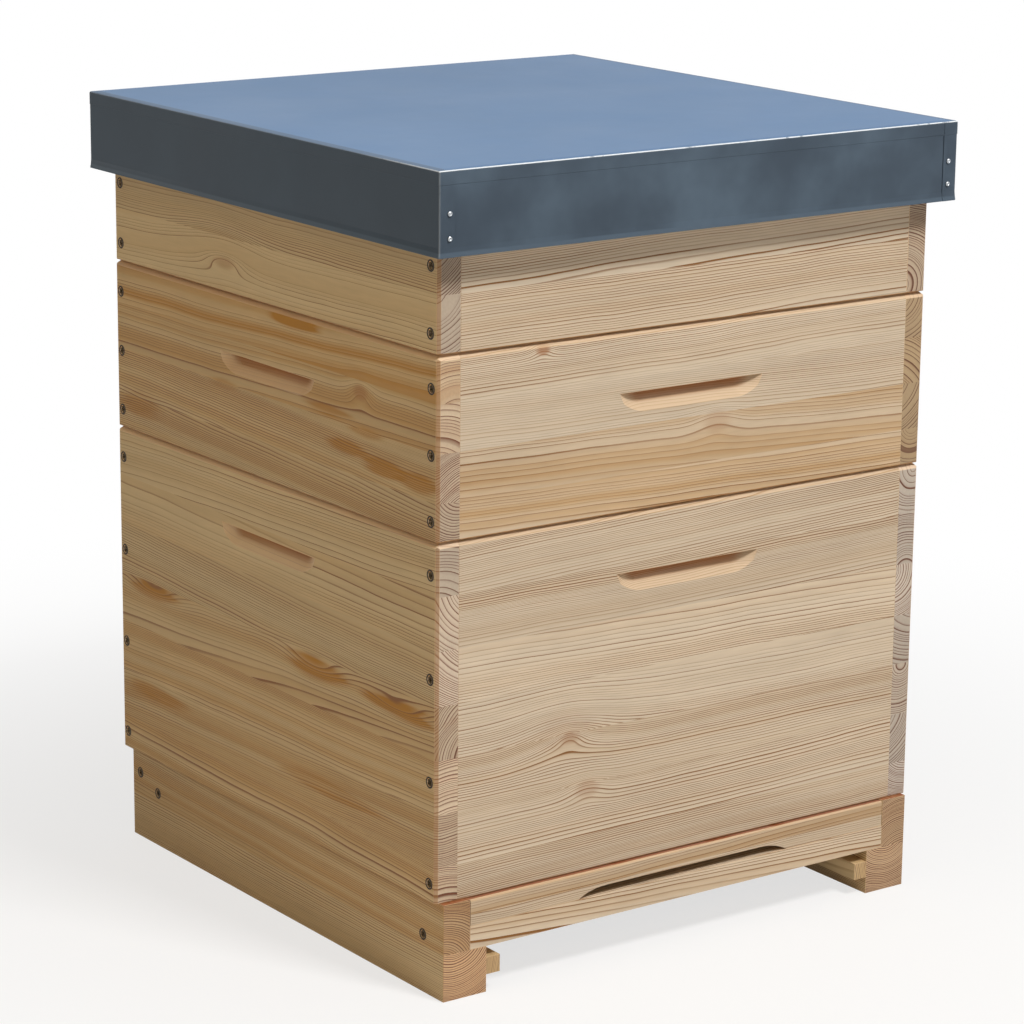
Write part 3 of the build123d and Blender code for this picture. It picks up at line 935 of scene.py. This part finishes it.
def plywood(name, seed):
    """Sanded plywood: a broad rotary-cut figure on the faces, thin plies on the edges."""
    timber = bpy.context.scene.hive_timber
    material, shader = new_material(name)
    x, y, z = object_place(shader).parts()
    along, cross = VENEER_FIGURE
    figure = shader.joined(x * along + seed, y * cross, z * cross).noise(1.0, detail=3.0)
    bands = (figure * VENEER_BANDS).fraction()
    late = bands.rise(0.45, 0.85) * (1.0 - bands.rise(0.9, 1.0))
    along, cross = VENEER_FIBRE
    fibre = shader.joined(x * along, y * cross, z * cross).noise(1.0)
    edge = 1.0 - abs(face_way(shader).parts()[2]).rise(0.5, 0.8)
    ply = (z / PLY_PAIR).fraction().above(0.5)
    face = (late * 0.4).mix(timber.early_wood, timber.heart_wood)
    plies = ply.mix(timber.early_wood, timber.late_wood)
    return surfaced(
        material,
        shader,
        Base_Color=edge.mix(face, plies).scaled(fibre.between(0.86, 1.02)),
        Roughness=0.62 + fibre * 0.1,
        Normal=bumped(shader, fibre, VENEER_RELIEF, strength=0.4),
    )


def dress_plywood(node, seed):
    """Stand an eased plywood panel in a CAD panel's place."""
    mesh = merged_copy(node)
    ease_edges(mesh, bpy.context.scene.hive_timber.edge_ease)
    stand(f"{node}_plywood", mesh, [plywood(f"{node}_veneer", seed)], node)


class HIVE_OT_inner_cover(bpy.types.Operator):
    """Dress the inner cover's panel and cleats"""

    bl_idname = "hive.inner_cover"
    bl_label = "Inner cover"

    def execute(self, context):
        dress_plywood("inner_cover_panel", seed=3.0)
        for node, cut in COVER_CUTS.items():
            dress_timber(node, cut)
        return {"FINISHED"}


class HIVE_OT_roof_timber(bpy.types.Operator):
    """Dress the roof's deck and frame boards"""

    bl_idname = "hive.roof_timber"
    bl_label = "Roof timber"

    def execute(self, context):
        dress_plywood("roof_deck", seed=7.0)
        for node, cut in ROOF_CUTS.items():
            dress_timber(node, cut)
        return {"FINISHED"}


SHEET = 1 * MM
BEND = 1.4 * MM
BEND_STEPS = 4
BEND_TURNS = [step * pi / 2 / BEND_STEPS for step in range(BEND_STEPS + 1)]
FLAP = 15.5 * MM
FLAP_STEP = 0.4 * MM
CREASE = 0.25 * MM
HEM_FLARE = 0.35 * MM
EDGE_ROLL = 7 * MM
ROLL_DROP = 0.5 * MM
ROLL_SHADE = 0.55
DENT_DEPTH = 0.8 * MM


def coated_sheet():
    """Satin slate coat, bluer and lighter where it faces the sky as a painted sky reflection, with painted
    shade along the rolled edges, smudges, a painted highlight on the hem and painted highlights on the folds.
    """
    roof = bpy.context.scene.hive_roof
    material, shader = new_material("coated_sheet")
    place = object_place(shader)
    clouds = place.noise(7.0, detail=4.0, roughness=0.6)
    blotches = place.noise(17.0, detail=3.0)
    haze = place.noise(2.4, detail=1.0)
    streaks = place.noise(45.0, detail=3.0)
    scuffs = place.noise(160.0)
    x_way, y_way, z_way = face_way(shader).parts()
    skyward = z_way.rise(0.3, 0.95)
    low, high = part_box("roof_sheet")
    x, y, z = place.parts()
    hem = 1.0 - z.rise(low.z + roof.hem_height * 0.8, low.z + roof.hem_height * 1.2)
    # Painted sky reflection: up-facing faces take the bluer, lighter top colour.
    coat = skyward.mix(roof.skirt_colour, roof.top_colour)
    # Painted shade: along the rolled side edges the top falls back towards the darker skirt coat.
    rolled_edge_shade = abs(x).rise(high.x - EDGE_ROLL - MM, high.x - EDGE_ROLL) * skyward * ROLL_SHADE
    coat = rolled_edge_shade.mix(coat, roof.skirt_colour)
    smudge = (clouds * 0.5 + blotches * 0.5).rise(0.36, 0.68) * abs(y_way).between(0.1, 0.52)
    # Smudges, and a painted highlight on the flared hem, where it catches light from above.
    coat = smudge.most(hem * 0.4).mix(coat, roof.smudge_colour)
    coat = coat.scaled(clouds * 0.14 + haze * 0.3 + streaks * 0.08 + 0.74)
    # Painted highlight: a bright line on the upper folds, strongest at the front, and a fainter one on the
    # vertical corners, broken by noise.
    bend = z_way.rise(0.15, 0.4) * (1.0 - z_way.rise(0.9, 0.99))
    front_glint_share = (y_way * -1.0).rise(0.1, 0.4).most((y * -1.0).rise(high.y * 0.55, high.y * 0.95) * 0.5)
    corner = (abs(x_way) * abs(y_way)).rise(0.1, 0.3) * 0.14
    fold_highlight = (bend * front_glint_share.between(0.1, 1.0)).most(corner) * scuffs.rise(0.15, 0.42)
    return surfaced(
        material,
        shader,
        Base_Color=fold_highlight.mix(coat, roof.worn_colour),
        Roughness=0.4 + clouds * 0.16,
        Specular_IOR_Level=0.15,
        Normal=bumped(shader, clouds + streaks * 0.04, DENT_DEPTH, strength=0.35),
    )


def roof_outline(half_x, half_y):
    """Plan of the folded sheet: rounded corners, and flaps that lap round them on to the ends."""
    quarter = [(half_x - BEND + BEND * cos(turn), half_y - BEND + BEND * sin(turn)) for turn in BEND_TURNS]
    quarter += [(half_x - FLAP, half_y), (half_x - FLAP, half_y - FLAP_STEP)]
    left = [(-x, y) for x, y in reversed(quarter)]
    back = quarter + left
    return back + [(-x, -y) for x, y in back]


def ring_at(mesh, outline, inset, z):
    """The outline drawn in by an inset at one height."""
    return [mesh.verts.new((x - copysign(inset, x), y - copysign(inset, y), z)) for x, y in outline]


def loft_rings(mesh, rings):
    """Skin between rings of corners, closed over the first and the last."""
    for below, above in zip(rings, rings[1:]):
        for index in range(len(below)):
            after = (index + 1) % len(below)
            mesh.faces.new((below[index], below[after], above[after], above[index]))
    mesh.faces.new(list(reversed(rings[0])))
    mesh.faces.new(rings[-1])


class HIVE_OT_roof_sheet(bpy.types.Operator):
    """Fold the roof's sheet: flared hem, crease, rounded bends and lapped corners"""

    bl_idname = "hive.roof_sheet"
    bl_label = "Roof sheet"

    def execute(self, context):
        roof = context.scene.hive_roof
        low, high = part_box("roof_sheet")
        outline = roof_outline(high.x, high.y)
        crease = high.z - roof.crease_drop
        profile = [
            (SHEET, high.z - SHEET),
            (SHEET, low.z),
            (0.0, low.z),
            (0.0, low.z + SHEET),
            (HEM_FLARE, low.z + roof.hem_height),
            (HEM_FLARE + CREASE, low.z + 2 * roof.hem_height),
            (HEM_FLARE + CREASE, crease - CREASE),
            (HEM_FLARE, crease),
        ]
        profile += [
            (HEM_FLARE + BEND * (1 - cos(turn)), high.z - ROLL_DROP - BEND * (1 - sin(turn)))
            for turn in BEND_TURNS
        ]
        profile += [(EDGE_ROLL, high.z)]
        mesh = bmesh.new()
        loft_rings(mesh, [ring_at(mesh, outline, inset, z) for inset, z in profile])
        bmesh.ops.recalc_face_normals(mesh, faces=mesh.faces)
        stand("roof_sheet_folded", mesh, [coated_sheet()], "roof_sheet")
        return {"FINISHED"}


def node_tree(name, sizes):
    """A Geometry Nodes tree with a geometry input and output, and named inputs with their defaults."""
    tree = bpy.data.node_groups.new(name, "GeometryNodeTree")
    tree.interface.new_socket("Geometry", in_out="INPUT", socket_type="NodeSocketGeometry")
    for label, default in sizes.items():
        kind = "NodeSocketInt" if isinstance(default, int) else "NodeSocketFloat"
        tree.interface.new_socket(label, in_out="INPUT", socket_type=kind).default_value = default
    tree.interface.new_socket("Geometry", in_out="OUTPUT", socket_type="NodeSocketGeometry")
    entry = tree.nodes.new("NodeGroupInput")
    return tree, {socket.name: Signal(tree, socket) for socket in entry.outputs if socket.name}


def join(start, *geometries):
    """Several geometries as one."""
    joined = start.node("GeometryNodeJoinGeometry")
    for geometry in geometries:
        start.tree.links.new(geometry.socket, joined.socket.node.inputs[0])
    return joined


def moved(geometry, z):
    """A geometry shifted upwards by a value or link."""
    shift = geometry.joined(0.0, 0.0, z)
    return geometry.node("GeometryNodeTransform", sockets={0: geometry, "Translation": shift})


def turned(geometry, y=0.0, z=0.0):
    """A geometry turned about two axes."""
    return geometry.node("GeometryNodeTransform", sockets={0: geometry, "Rotation": (0.0, y, z)})


def cylinder(start, sides, radius, length):
    """An upright cylinder about the origin."""
    sockets = {"Vertices": sides, "Radius": radius, "Depth": length}
    return start.node("GeometryNodeMeshCylinder", sockets=sockets)


def cut_away(geometry, *cutters):
    """A mesh less its cutters."""
    made = geometry.node("GeometryNodeMeshBoolean", {"operation": "DIFFERENCE"}, {0: geometry})
    for cutter in cutters:
        geometry.tree.links.new(cutter.socket, made.socket.node.inputs[1])
    return made


def finish_tree(start, *layers):
    """End a tree in real geometry, each layer of instances in its own material."""
    solids = []
    for layer, material in layers:
        real = start.node("GeometryNodeRealizeInstances", sockets={0: layer})
        solids.append(start.node("GeometryNodeSetMaterial", sockets={0: real, "Material": material}))
    start.node("NodeGroupOutput", sockets={0: join(start, *solids)})


def outward_instances(points, instance, seed):
    """Copies on points, their Z along each point's outward way, turned at random about it."""
    way = points.node("GeometryNodeInputNamedAttribute", {"data_type": "FLOAT_VECTOR"}, {"Name": "outward"})
    aim = points.node("FunctionNodeAlignRotationToVector", {"axis": "Z"}, {"Vector": way})
    limits = {2: 0.0, 3: tau, "Seed": seed}
    spin = points.node("FunctionNodeRandomValue", {"data_type": "FLOAT"}, limits, out=1)
    turn = points.node("FunctionNodeAxisAngleToRotation", sockets={"Axis": (0.0, 0.0, 1.0), "Angle": spin})
    both = points.node(
        "FunctionNodeRotateRotation", {"rotation_space": "LOCAL"}, {"Rotation": aim, "Rotate By": turn}
    )
    return points.node(
        "GeometryNodeInstanceOnPoints", sockets={"Points": points, "Instance": instance, "Rotation": both}
    )


def grow(name, data, tree, sizes):
    """Run a tree on a mesh and keep its result as a plain mesh."""
    thing = link_object(name, data)
    modifier = thing.modifiers.new(tree.name, "NODES")
    modifier.node_group = tree
    for item in tree.interface.items_tree:
        if item.in_out == "INPUT" and item.name in sizes:
            modifier[item.identifier] = sizes[item.name]
    depsgraph = bpy.context.evaluated_depsgraph_get()
    grown = bpy.data.meshes.new_from_object(thing.evaluated_get(depsgraph))
    thing.modifiers.remove(modifier)
    thing.data = grown
    return thing


def outer_ends(node, axis):
    """The outer end of each solid of a CAD group along an axis, with the way that it faces."""
    mesh = merged_copy(node)
    ends = []
    for island in islands(mesh):
        lows = [min(corner.co[i] for corner in island) for i in range(3)]
        highs = [max(corner.co[i] for corner in island) for i in range(3)]
        middle = Vector([(a + b) / 2 for a, b in zip(lows, highs)])
        way = Vector((0.0, 0.0, 0.0))
        way[axis] = 1.0 if middle[axis] > 0 else -1.0
        middle[axis] = highs[axis] if middle[axis] > 0 else lows[axis]
        ends.append((middle, way))
    mesh.free()
    return sorted(ends, key=lambda end: tuple(end[0]))


def outward_points(name, ends):
    """A mesh of single points that carry the way they face."""
    data = bpy.data.meshes.new(name)
    data.from_pydata([place for place, way in ends], [], [])
    attribute = data.attributes.new("outward", "FLOAT_VECTOR", "POINT")
    attribute.data.foreach_set("vector", [value for place, way in ends for value in way])
    return data


DIRT_TINT = (0.62, 0.6, 0.58)
# Darker speckle in the painted countersink shade.
SINK_SHADE_TINT = (0.6, 0.55, 0.5)


def worn_metal(name, colour, roughness):
    """Bare metal with a little dirt in its tone."""
    material, shader = new_material(name)
    tone = object_place(shader).noise(420.0, detail=3.0).rise(0.25, 0.75)
    return surfaced(
        material,
        shader,
        Base_Color=tone.mix(tinted(colour, DIRT_TINT), colour),
        Metallic=0.9,
        Roughness=roughness + tone * 0.18,
    )


def bruised_wood():
    """Painted shade: a very dark ring in the countersink of a screw hole."""
    material, shader = new_material("bruised_wood")
    fibre = object_place(shader).noise(900.0, detail=3.0)
    bruise = bpy.context.scene.hive_fasteners.bruise
    return surfaced(
        material,
        shader,
        Base_Color=fibre.mix(tinted(bruise, SINK_SHADE_TINT), bruise),
        Roughness=0.7 + fibre * 0.2,
    )


SCREW_SIDES = 20
RIVET_SIDES = 20
RIVET_RINGS = 10
PIN_SIDES = 12


def screw_tree(steel, bruise):
    """Countersunk screws with a cross recess, each with a ring of painted shade in its countersink."""
    tree, size = node_tree(
        "sunk_screws",
        {
            "Head radius": 3.7 * MM,
            "Shank radius": 2.2 * MM,
            "Head height": 1.7 * MM,
            "Length": 50 * MM,
            "Sink radius": 5.1 * MM,
            "Sink depth": 0.6 * MM,
            "Ring depth": 0.14 * MM,
            "Cross length": 5.0 * MM,
            "Cross width": 1.3 * MM,
            "Cross depth": 1.3 * MM,
            "Seed": 4,
        },
    )
    points = size["Geometry"]
    head_height = size["Head height"]
    head = points.node(
        "GeometryNodeMeshCone",
        sockets={
            "Vertices": SCREW_SIDES,
            "Radius Top": size["Head radius"],
            "Radius Bottom": size["Shank radius"],
            "Depth": head_height,
        },
    )
    head = moved(head, head_height * -1.0)
    long, wide, tall = size["Cross length"], size["Cross width"], size["Cross depth"] * 2.0
    arms = [
        points.node("GeometryNodeMeshCube", sockets={"Size": points.joined(x, y, tall)})
        for x, y in ((long, wide), (wide, long))
    ]
    head = cut_away(head, *arms)
    shank_length = size["Length"] - head_height
    shank = cylinder(points, SCREW_SIDES, size["Shank radius"], shank_length)
    shank = moved(shank, shank_length * -0.5 - head_height)
    ring = cylinder(points, SCREW_SIDES, size["Sink radius"], size["Ring depth"])
    bore = cylinder(points, SCREW_SIDES, size["Head radius"], size["Ring depth"] * 3.0)
    ring = moved(cut_away(ring, bore), size["Sink depth"])
    finish_tree(
        points,
        (outward_instances(points, join(points, head, shank), size["Seed"]), steel),
        (outward_instances(points, ring, size["Seed"]), bruise),
    )
    return tree


SCREW_GROUPS = ("brood_screws", "super_screws", "rim_screws", "base_screws")


class HIVE_OT_screws(bpy.types.Operator):
    """Drive the screws of the boxes, the rim and the floor"""

    bl_idname = "hive.screws"
    bl_label = "Screws"

    def execute(self, context):
        fasteners = context.scene.hive_fasteners
        tree = screw_tree(worn_metal("screw_steel", fasteners.screw_steel, roughness=0.38), bruised_wood())
        sizes = {
            "Head radius": fasteners.head_radius,
            "Shank radius": fasteners.shank_radius,
            "Head height": fasteners.head_height,
            "Sink radius": fasteners.sink_radius,
        }
        for seed, node in enumerate(SCREW_GROUPS):
            heads = outward_points(node, outer_ends(node, axis=0))
            screws = grow(f"{node}_driven", heads, tree, {**sizes, "Seed": seed})
            settle(screws, node)
        return {"FINISHED"}


def rivet_tree(metal):
    """Domed blind rivets with the dimple of the broken pin."""
    tree, size = node_tree(
        "blind_rivets", {"Head radius": 2.2 * MM, "Dome": 1.2 * MM, "Dimple radius": 0.9 * MM, "Seed": 9}
    )
    points = size["Geometry"]
    ball = points.node(
        "GeometryNodeMeshUVSphere",
        sockets={"Segments": RIVET_SIDES, "Rings": RIVET_RINGS, "Radius": size["Head radius"]},
    )
    flat = points.joined(1.0, 1.0, size["Dome"] / size["Head radius"])
    dome = points.node("GeometryNodeTransform", sockets={0: ball, "Scale": flat})
    pin = cylinder(points, PIN_SIDES, size["Dimple radius"], size["Dome"])
    dome = cut_away(dome, moved(pin, size["Dome"]))
    dome = moved(dome, size["Dome"] * -1.0)
    smooth = points.node("GeometryNodeSetShadeSmooth", sockets={0: dome})
    finish_tree(points, (outward_instances(points, smooth, size["Seed"]), metal))
    return tree


class HIVE_OT_rivets(bpy.types.Operator):
    """Set the rivets that hold the roof's corner flaps"""

    bl_idname = "hive.rivets"
    bl_label = "Rivets"

    def execute(self, context):
        tree = rivet_tree(worn_metal("rivet_metal", context.scene.hive_fasteners.rivet_metal, roughness=0.22))
        heads = outward_points("rivets", outer_ends("roof_rivets", axis=1))
        rivets = grow("roof_rivets_set", heads, tree, {})
        settle(rivets, "roof_rivets")
        return {"FINISHED"}


WIRE_LIFT = 0.85


def wire_tree(metal):
    """Two layers of straight wires, welded where they cross."""
    tree, size = node_tree(
        "welded_wire",
        {"Width": 0.4, "Depth": 0.4, "Pitch": 4 * MM, "Wire radius": 0.45 * MM, "Wire sides": 6},
    )
    start = size["Geometry"]
    layers = []
    for length, spread, level in ((size["Width"], size["Depth"], -1.0), (size["Depth"], size["Width"], 1.0)):
        count = (spread / size["Pitch"]).floor() + 1.0
        line = start.node(
            "GeometryNodeMeshLine",
            sockets={
                "Count": count,
                "Start Location": start.joined(0.0, spread * -0.5, size["Wire radius"] * (WIRE_LIFT * level)),
                "Offset": start.joined(0.0, spread / (count - 1.0), 0.0),
            },
        )
        wire = turned(cylinder(start, size["Wire sides"], size["Wire radius"], length), y=pi / 2)
        row = start.node("GeometryNodeInstanceOnPoints", sockets={"Points": line, "Instance": wire})
        layers.append(turned(row, z=pi / 2) if level > 0 else row)
    finish_tree(start, (join(start, *layers), metal))
    return tree


class HIVE_OT_floor_mesh(bpy.types.Operator):
    """Weld the floor's wire mesh"""

    bl_idname = "hive.floor_mesh"
    bl_label = "Floor mesh"

    def execute(self, context):
        mesh_settings = context.scene.hive_floor_mesh
        low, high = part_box("floor_mesh")
        middle = (low + high) / 2
        tree = wire_tree(worn_metal("galvanised_wire", mesh_settings.galvanised, roughness=0.42))
        sizes = {
            "Width": high.x - low.x,
            "Depth": high.y - low.y,
            "Pitch": mesh_settings.wire_pitch,
            "Wire radius": mesh_settings.wire_radius,
        }
        net = grow("floor_mesh_wires", bpy.data.meshes.new("floor_mesh_wires"), tree, sizes)
        net.data.transform(Matrix.Translation(middle))
        settle(net, "floor_mesh")
        return {"FINISHED"}


WAX_GLOW = (4 * MM, 2 * MM, 1 * MM)
CELL_RELIEF = 0.5 * MM
OLD_WAX_TINT = (0.86, 0.8, 0.7)
CELL_RIM_TINT = (1.12, 1.14, 1.25)


def wax():
    """Beeswax foundation pressed with rows of six-sided cells."""
    frames = bpy.context.scene.hive_frames
    material, shader = new_material("wax_foundation")
    place = object_place(shader)
    y, z = place.parts()[1:]
    root_three = 3**0.5
    across = y / frames.cell_size
    up = z / frames.cell_size
    near = []
    for shift in (0.0, 0.5):
        a = (across + shift).fraction() - 0.5
        b = ((up + shift * root_three) / root_three).fraction() * root_three - root_three / 2
        near.append((a, b, a.squared() + b.squared()))
    (a1, b1, far1), (a2, b2, far2) = near
    second = far1.above(far2)
    a = abs(a1 + (a2 - a1) * second)
    b = abs(b1 + (b2 - b1) * second)
    rim = (a * 0.5 + b * (root_three / 2)).most(a).rise(0.38, 0.48)
    cloud = place.noise(14.0, detail=3.0)
    base = cloud.mix(tinted(frames.wax_colour, OLD_WAX_TINT), frames.wax_colour)
    return surfaced(
        material,
        shader,
        Base_Color=(rim * 0.55).mix(base.scaled(0.82), tinted(frames.wax_colour, CELL_RIM_TINT)),
        Roughness=0.42 + cloud * 0.12,
        Subsurface_Weight=0.15,
        Subsurface_Radius=WAX_GLOW,
        Normal=bumped(shader, rim, CELL_RELIEF),
    )


FRAME_ROWS = ("brood", "super")
FRAME_COUNT = 12
BAR_EASE = 0.6 * MM
THIN = 2 * MM
LONG_BAR, SIDE_BAR, WAX_SHEET = range(3)


def frame_mesh(node):
    """A frame's bars with eased edges; its faces are sorted into long bars, side bars and wax."""
    mesh = merged_copy(node)
    for island in islands(mesh):
        spans = [max(c.co[i] for c in island) - min(c.co[i] for c in island) for i in range(3)]
        kind = SIDE_BAR if spans[2] > spans[1] else LONG_BAR
        if spans[0] < THIN:
            kind = WAX_SHEET
        for corner in island:
            for face in corner.link_faces:
                face.material_index = kind
    ease_edges(mesh, BAR_EASE)
    return mesh


class HIVE_OT_frames(bpy.types.Operator):
    """Dress the frames of both boxes"""

    bl_idname = "hive.frames"
    bl_label = "Frames"

    def execute(self, context):
        timber = context.scene.hive_timber
        bar_tint = tuple(a / b for a, b in zip(context.scene.hive_frames.bar_colour, timber.early_wood))
        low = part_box("brood_frame_01")[0]
        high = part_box(f"brood_frame_{FRAME_COUNT}")[1]
        plain = Cut(
            "Y_row", 61, (high.x - low.x) / FRAME_COUNT, bar_tint, contrast=0.35,
            redness=FRAME_COUNT * (0.05,),
            rings=FRAME_COUNT * (0.6,),
        )
        long_bar = pine("frame_long_bar", low, high, plain)
        side_bar = pine("frame_side_bar", low, high, plain._replace(grain="Z", seed=62))
        materials = [long_bar, side_bar, wax()]
        for prefix in FRAME_ROWS:
            for number in range(1, FRAME_COUNT + 1):
                node = f"{prefix}_frame_{number:02d}"
                stand(f"{node}_hung", frame_mesh(node), materials, node)
        return {"FINISHED"}


CAMERA_PLACE = Vector((-1.8297, -2.5396, 1.1236))
CAMERA_AIM = Vector((0.56702, 0.78629, -0.24544))
CAMERA_ROLL = radians(0.6)
SENSOR = 36.0
LENS = 124.55
FLOOR_REACH = 14.0
FLOOR_SIDES = 64
FLOOR_GAP = 0.2 * MM
FLOOR_SHADE = 0.3
FLOOR_WHITE = 1.3
FLOOR_GLOW = 0.7
HIVE_MIDDLE = Vector((0.0, 0.0, 0.35))
ROOF_MIDDLE = Vector((0.0, 0.0, 0.7))


class Lamp(NamedTuple):
    """A soft square lamp: where it hangs, its width, its colour and the point that it looks at."""

    name: str
    place: tuple
    width: float
    colour: tuple
    target: Vector = HIVE_MIDDLE


LAMPS = (
    Lamp("key", (0.45, -2.5, 3.75), 0.8, (1.0, 0.99, 0.98)),
    Lamp("top", (0.2, -0.8, 3.6), 2.6, (1.0, 0.99, 0.97)),
    Lamp("fill", (-1.9, -0.6, 2.9), 2.2, (1.0, 0.78, 0.48)),
    Lamp("sky", (1.6, 2.6, 2.6), 3.0, (0.62, 0.8, 1.0), ROOF_MIDDLE),
)


def add_lamp(lamp, power):
    """Hang a lamp that isn't seen itself."""
    light = bpy.data.lights.new(lamp.name, "AREA")
    light.size = lamp.width
    light.energy = power
    light.color = lamp.colour
    thing = link_object(lamp.name, light)
    thing.location = lamp.place
    thing.rotation_euler = (lamp.target - Vector(lamp.place)).to_track_quat("-Z", "Y").to_euler()
    thing.visible_camera = False


def add_camera():
    """The camera at the photograph's place, aim and roll."""
    camera = bpy.data.cameras.new("camera")
    camera.sensor_width = SENSOR
    camera.lens = LENS
    viewer = link_object("camera", camera)
    level = CAMERA_AIM.cross(Vector((0.0, 0.0, 1.0))).normalized()
    upright = level.cross(CAMERA_AIM).normalized()
    right = level * cos(CAMERA_ROLL) + upright * sin(CAMERA_ROLL)
    top = upright * cos(CAMERA_ROLL) - level * sin(CAMERA_ROLL)
    turn = Matrix((right, top, -CAMERA_AIM.normalized())).transposed()
    viewer.matrix_world = Matrix.Translation(CAMERA_PLACE) @ turn.to_4x4()
    return viewer


def seen_directly(shader):
    """1 for rays that show the background: straight from the camera, mirrored or through glass."""
    path = shader.node("ShaderNodeLightPath", out="Is Camera Ray")
    return path.most(path.output("Is Glossy Ray")).most(path.output("Is Transmission Ray"))


def pale_floor(colour):
    """Matt floor that keeps the shadow and reads as white where nothing shades it."""
    material, shader = new_material("pale_floor")
    grain = object_place(shader).noise(60.0)
    matt = principled(shader, Base_Color=grain.mix(tinted(colour, (0.99, 0.99, 0.99)), colour), Roughness=0.9)
    glow = shader.node("ShaderNodeEmission", sockets={"Color": (1.0, 1.0, 1.0), "Strength": 1.0})
    x, y = object_place(shader).parts()[:2]
    away = (x.squared() + y.squared()).root().rise(FLOOR_SHADE, FLOOR_WHITE)
    share = seen_directly(shader) * away.between(FLOOR_GLOW, 1.0)
    finish_material(shader, shader.node("ShaderNodeMixShader", sockets={0: share, 1: matt, 2: glow}))
    return material


def studio_world(strength, colour):
    """Even light for the hive, and a white background for whatever shows it."""
    world = bpy.data.worlds.new("studio")
    bpy.context.scene.world = world
    world.use_nodes = True
    world.node_tree.nodes.clear()
    shader = Signal(world.node_tree)
    seen = seen_directly(shader)
    level = seen.between(strength, 1.0)
    colour = seen.mix(colour, (1.0, 1.0, 1.0))
    sky = shader.node("ShaderNodeBackground", sockets={"Color": colour, "Strength": level})
    shader.node("ShaderNodeOutputWorld", sockets={"Surface": sky})


class HIVE_OT_stage(bpy.types.Operator):
    """Set the floor, the lamps, the background and the camera"""

    bl_idname = "hive.stage"
    bl_label = "Studio"

    def execute(self, context):
        stage = context.scene.hive_stage
        mesh = bmesh.new()
        bmesh.ops.create_circle(mesh, cap_ends=True, segments=FLOOR_SIDES, radius=FLOOR_REACH)
        floor = link_mesh("floor", mesh, [pale_floor(stage.floor_colour)])
        floor.location.z = cad_bounds[0][2] - FLOOR_GAP
        studio_world(stage.world_light, stage.world_colour)
        for lamp in LAMPS:
            add_lamp(lamp, getattr(stage, f"{lamp.name}_power"))
        context.scene.camera = add_camera()
        context.scene.view_settings.view_transform = "Standard"
        return {"FINISHED"}


OPERATORS = (
    HIVE_OT_walls,
    HIVE_OT_floor,
    HIVE_OT_floor_mesh,
    HIVE_OT_inner_cover,
    HIVE_OT_roof_timber,
    HIVE_OT_roof_sheet,
    HIVE_OT_rivets,
    HIVE_OT_screws,
    HIVE_OT_frames,
    HIVE_OT_stage,
)


class HIVE_PT_panel(bpy.types.Panel):
    """Buttons that dress the hive"""

    bl_idname = "HIVE_PT_panel"
    bl_label = "Hive"
    bl_space_type = "VIEW_3D"
    bl_region_type = "UI"
    bl_category = "Hive"

    def draw(self, context):
        for operator in OPERATORS:
            self.layout.operator(operator.bl_idname)
        for setting, group in SETTINGS.items():
            box = self.layout.box()
            box.label(text=group.__doc__)
            for name in group.__annotations__:
                box.prop(getattr(context.scene, setting), name)


CLASSES = (*SETTINGS.values(), *OPERATORS, HIVE_PT_panel)


def register():
    for piece in CLASSES:
        bpy.utils.register_class(piece)
    for setting, group in SETTINGS.items():
        setattr(bpy.types.Scene, setting, PointerProperty(type=group))


def unregister():
    for setting in SETTINGS:
        delattr(bpy.types.Scene, setting)
    for piece in reversed(CLASSES):
        bpy.utils.unregister_class(piece)


def main():
    """Dress the hive and set the stage."""
    register()
    for operator in OPERATORS:
        group, name = operator.bl_idname.split(".")
        getattr(getattr(bpy.ops, group), name)()


if __name__ == "__main__":
    main()
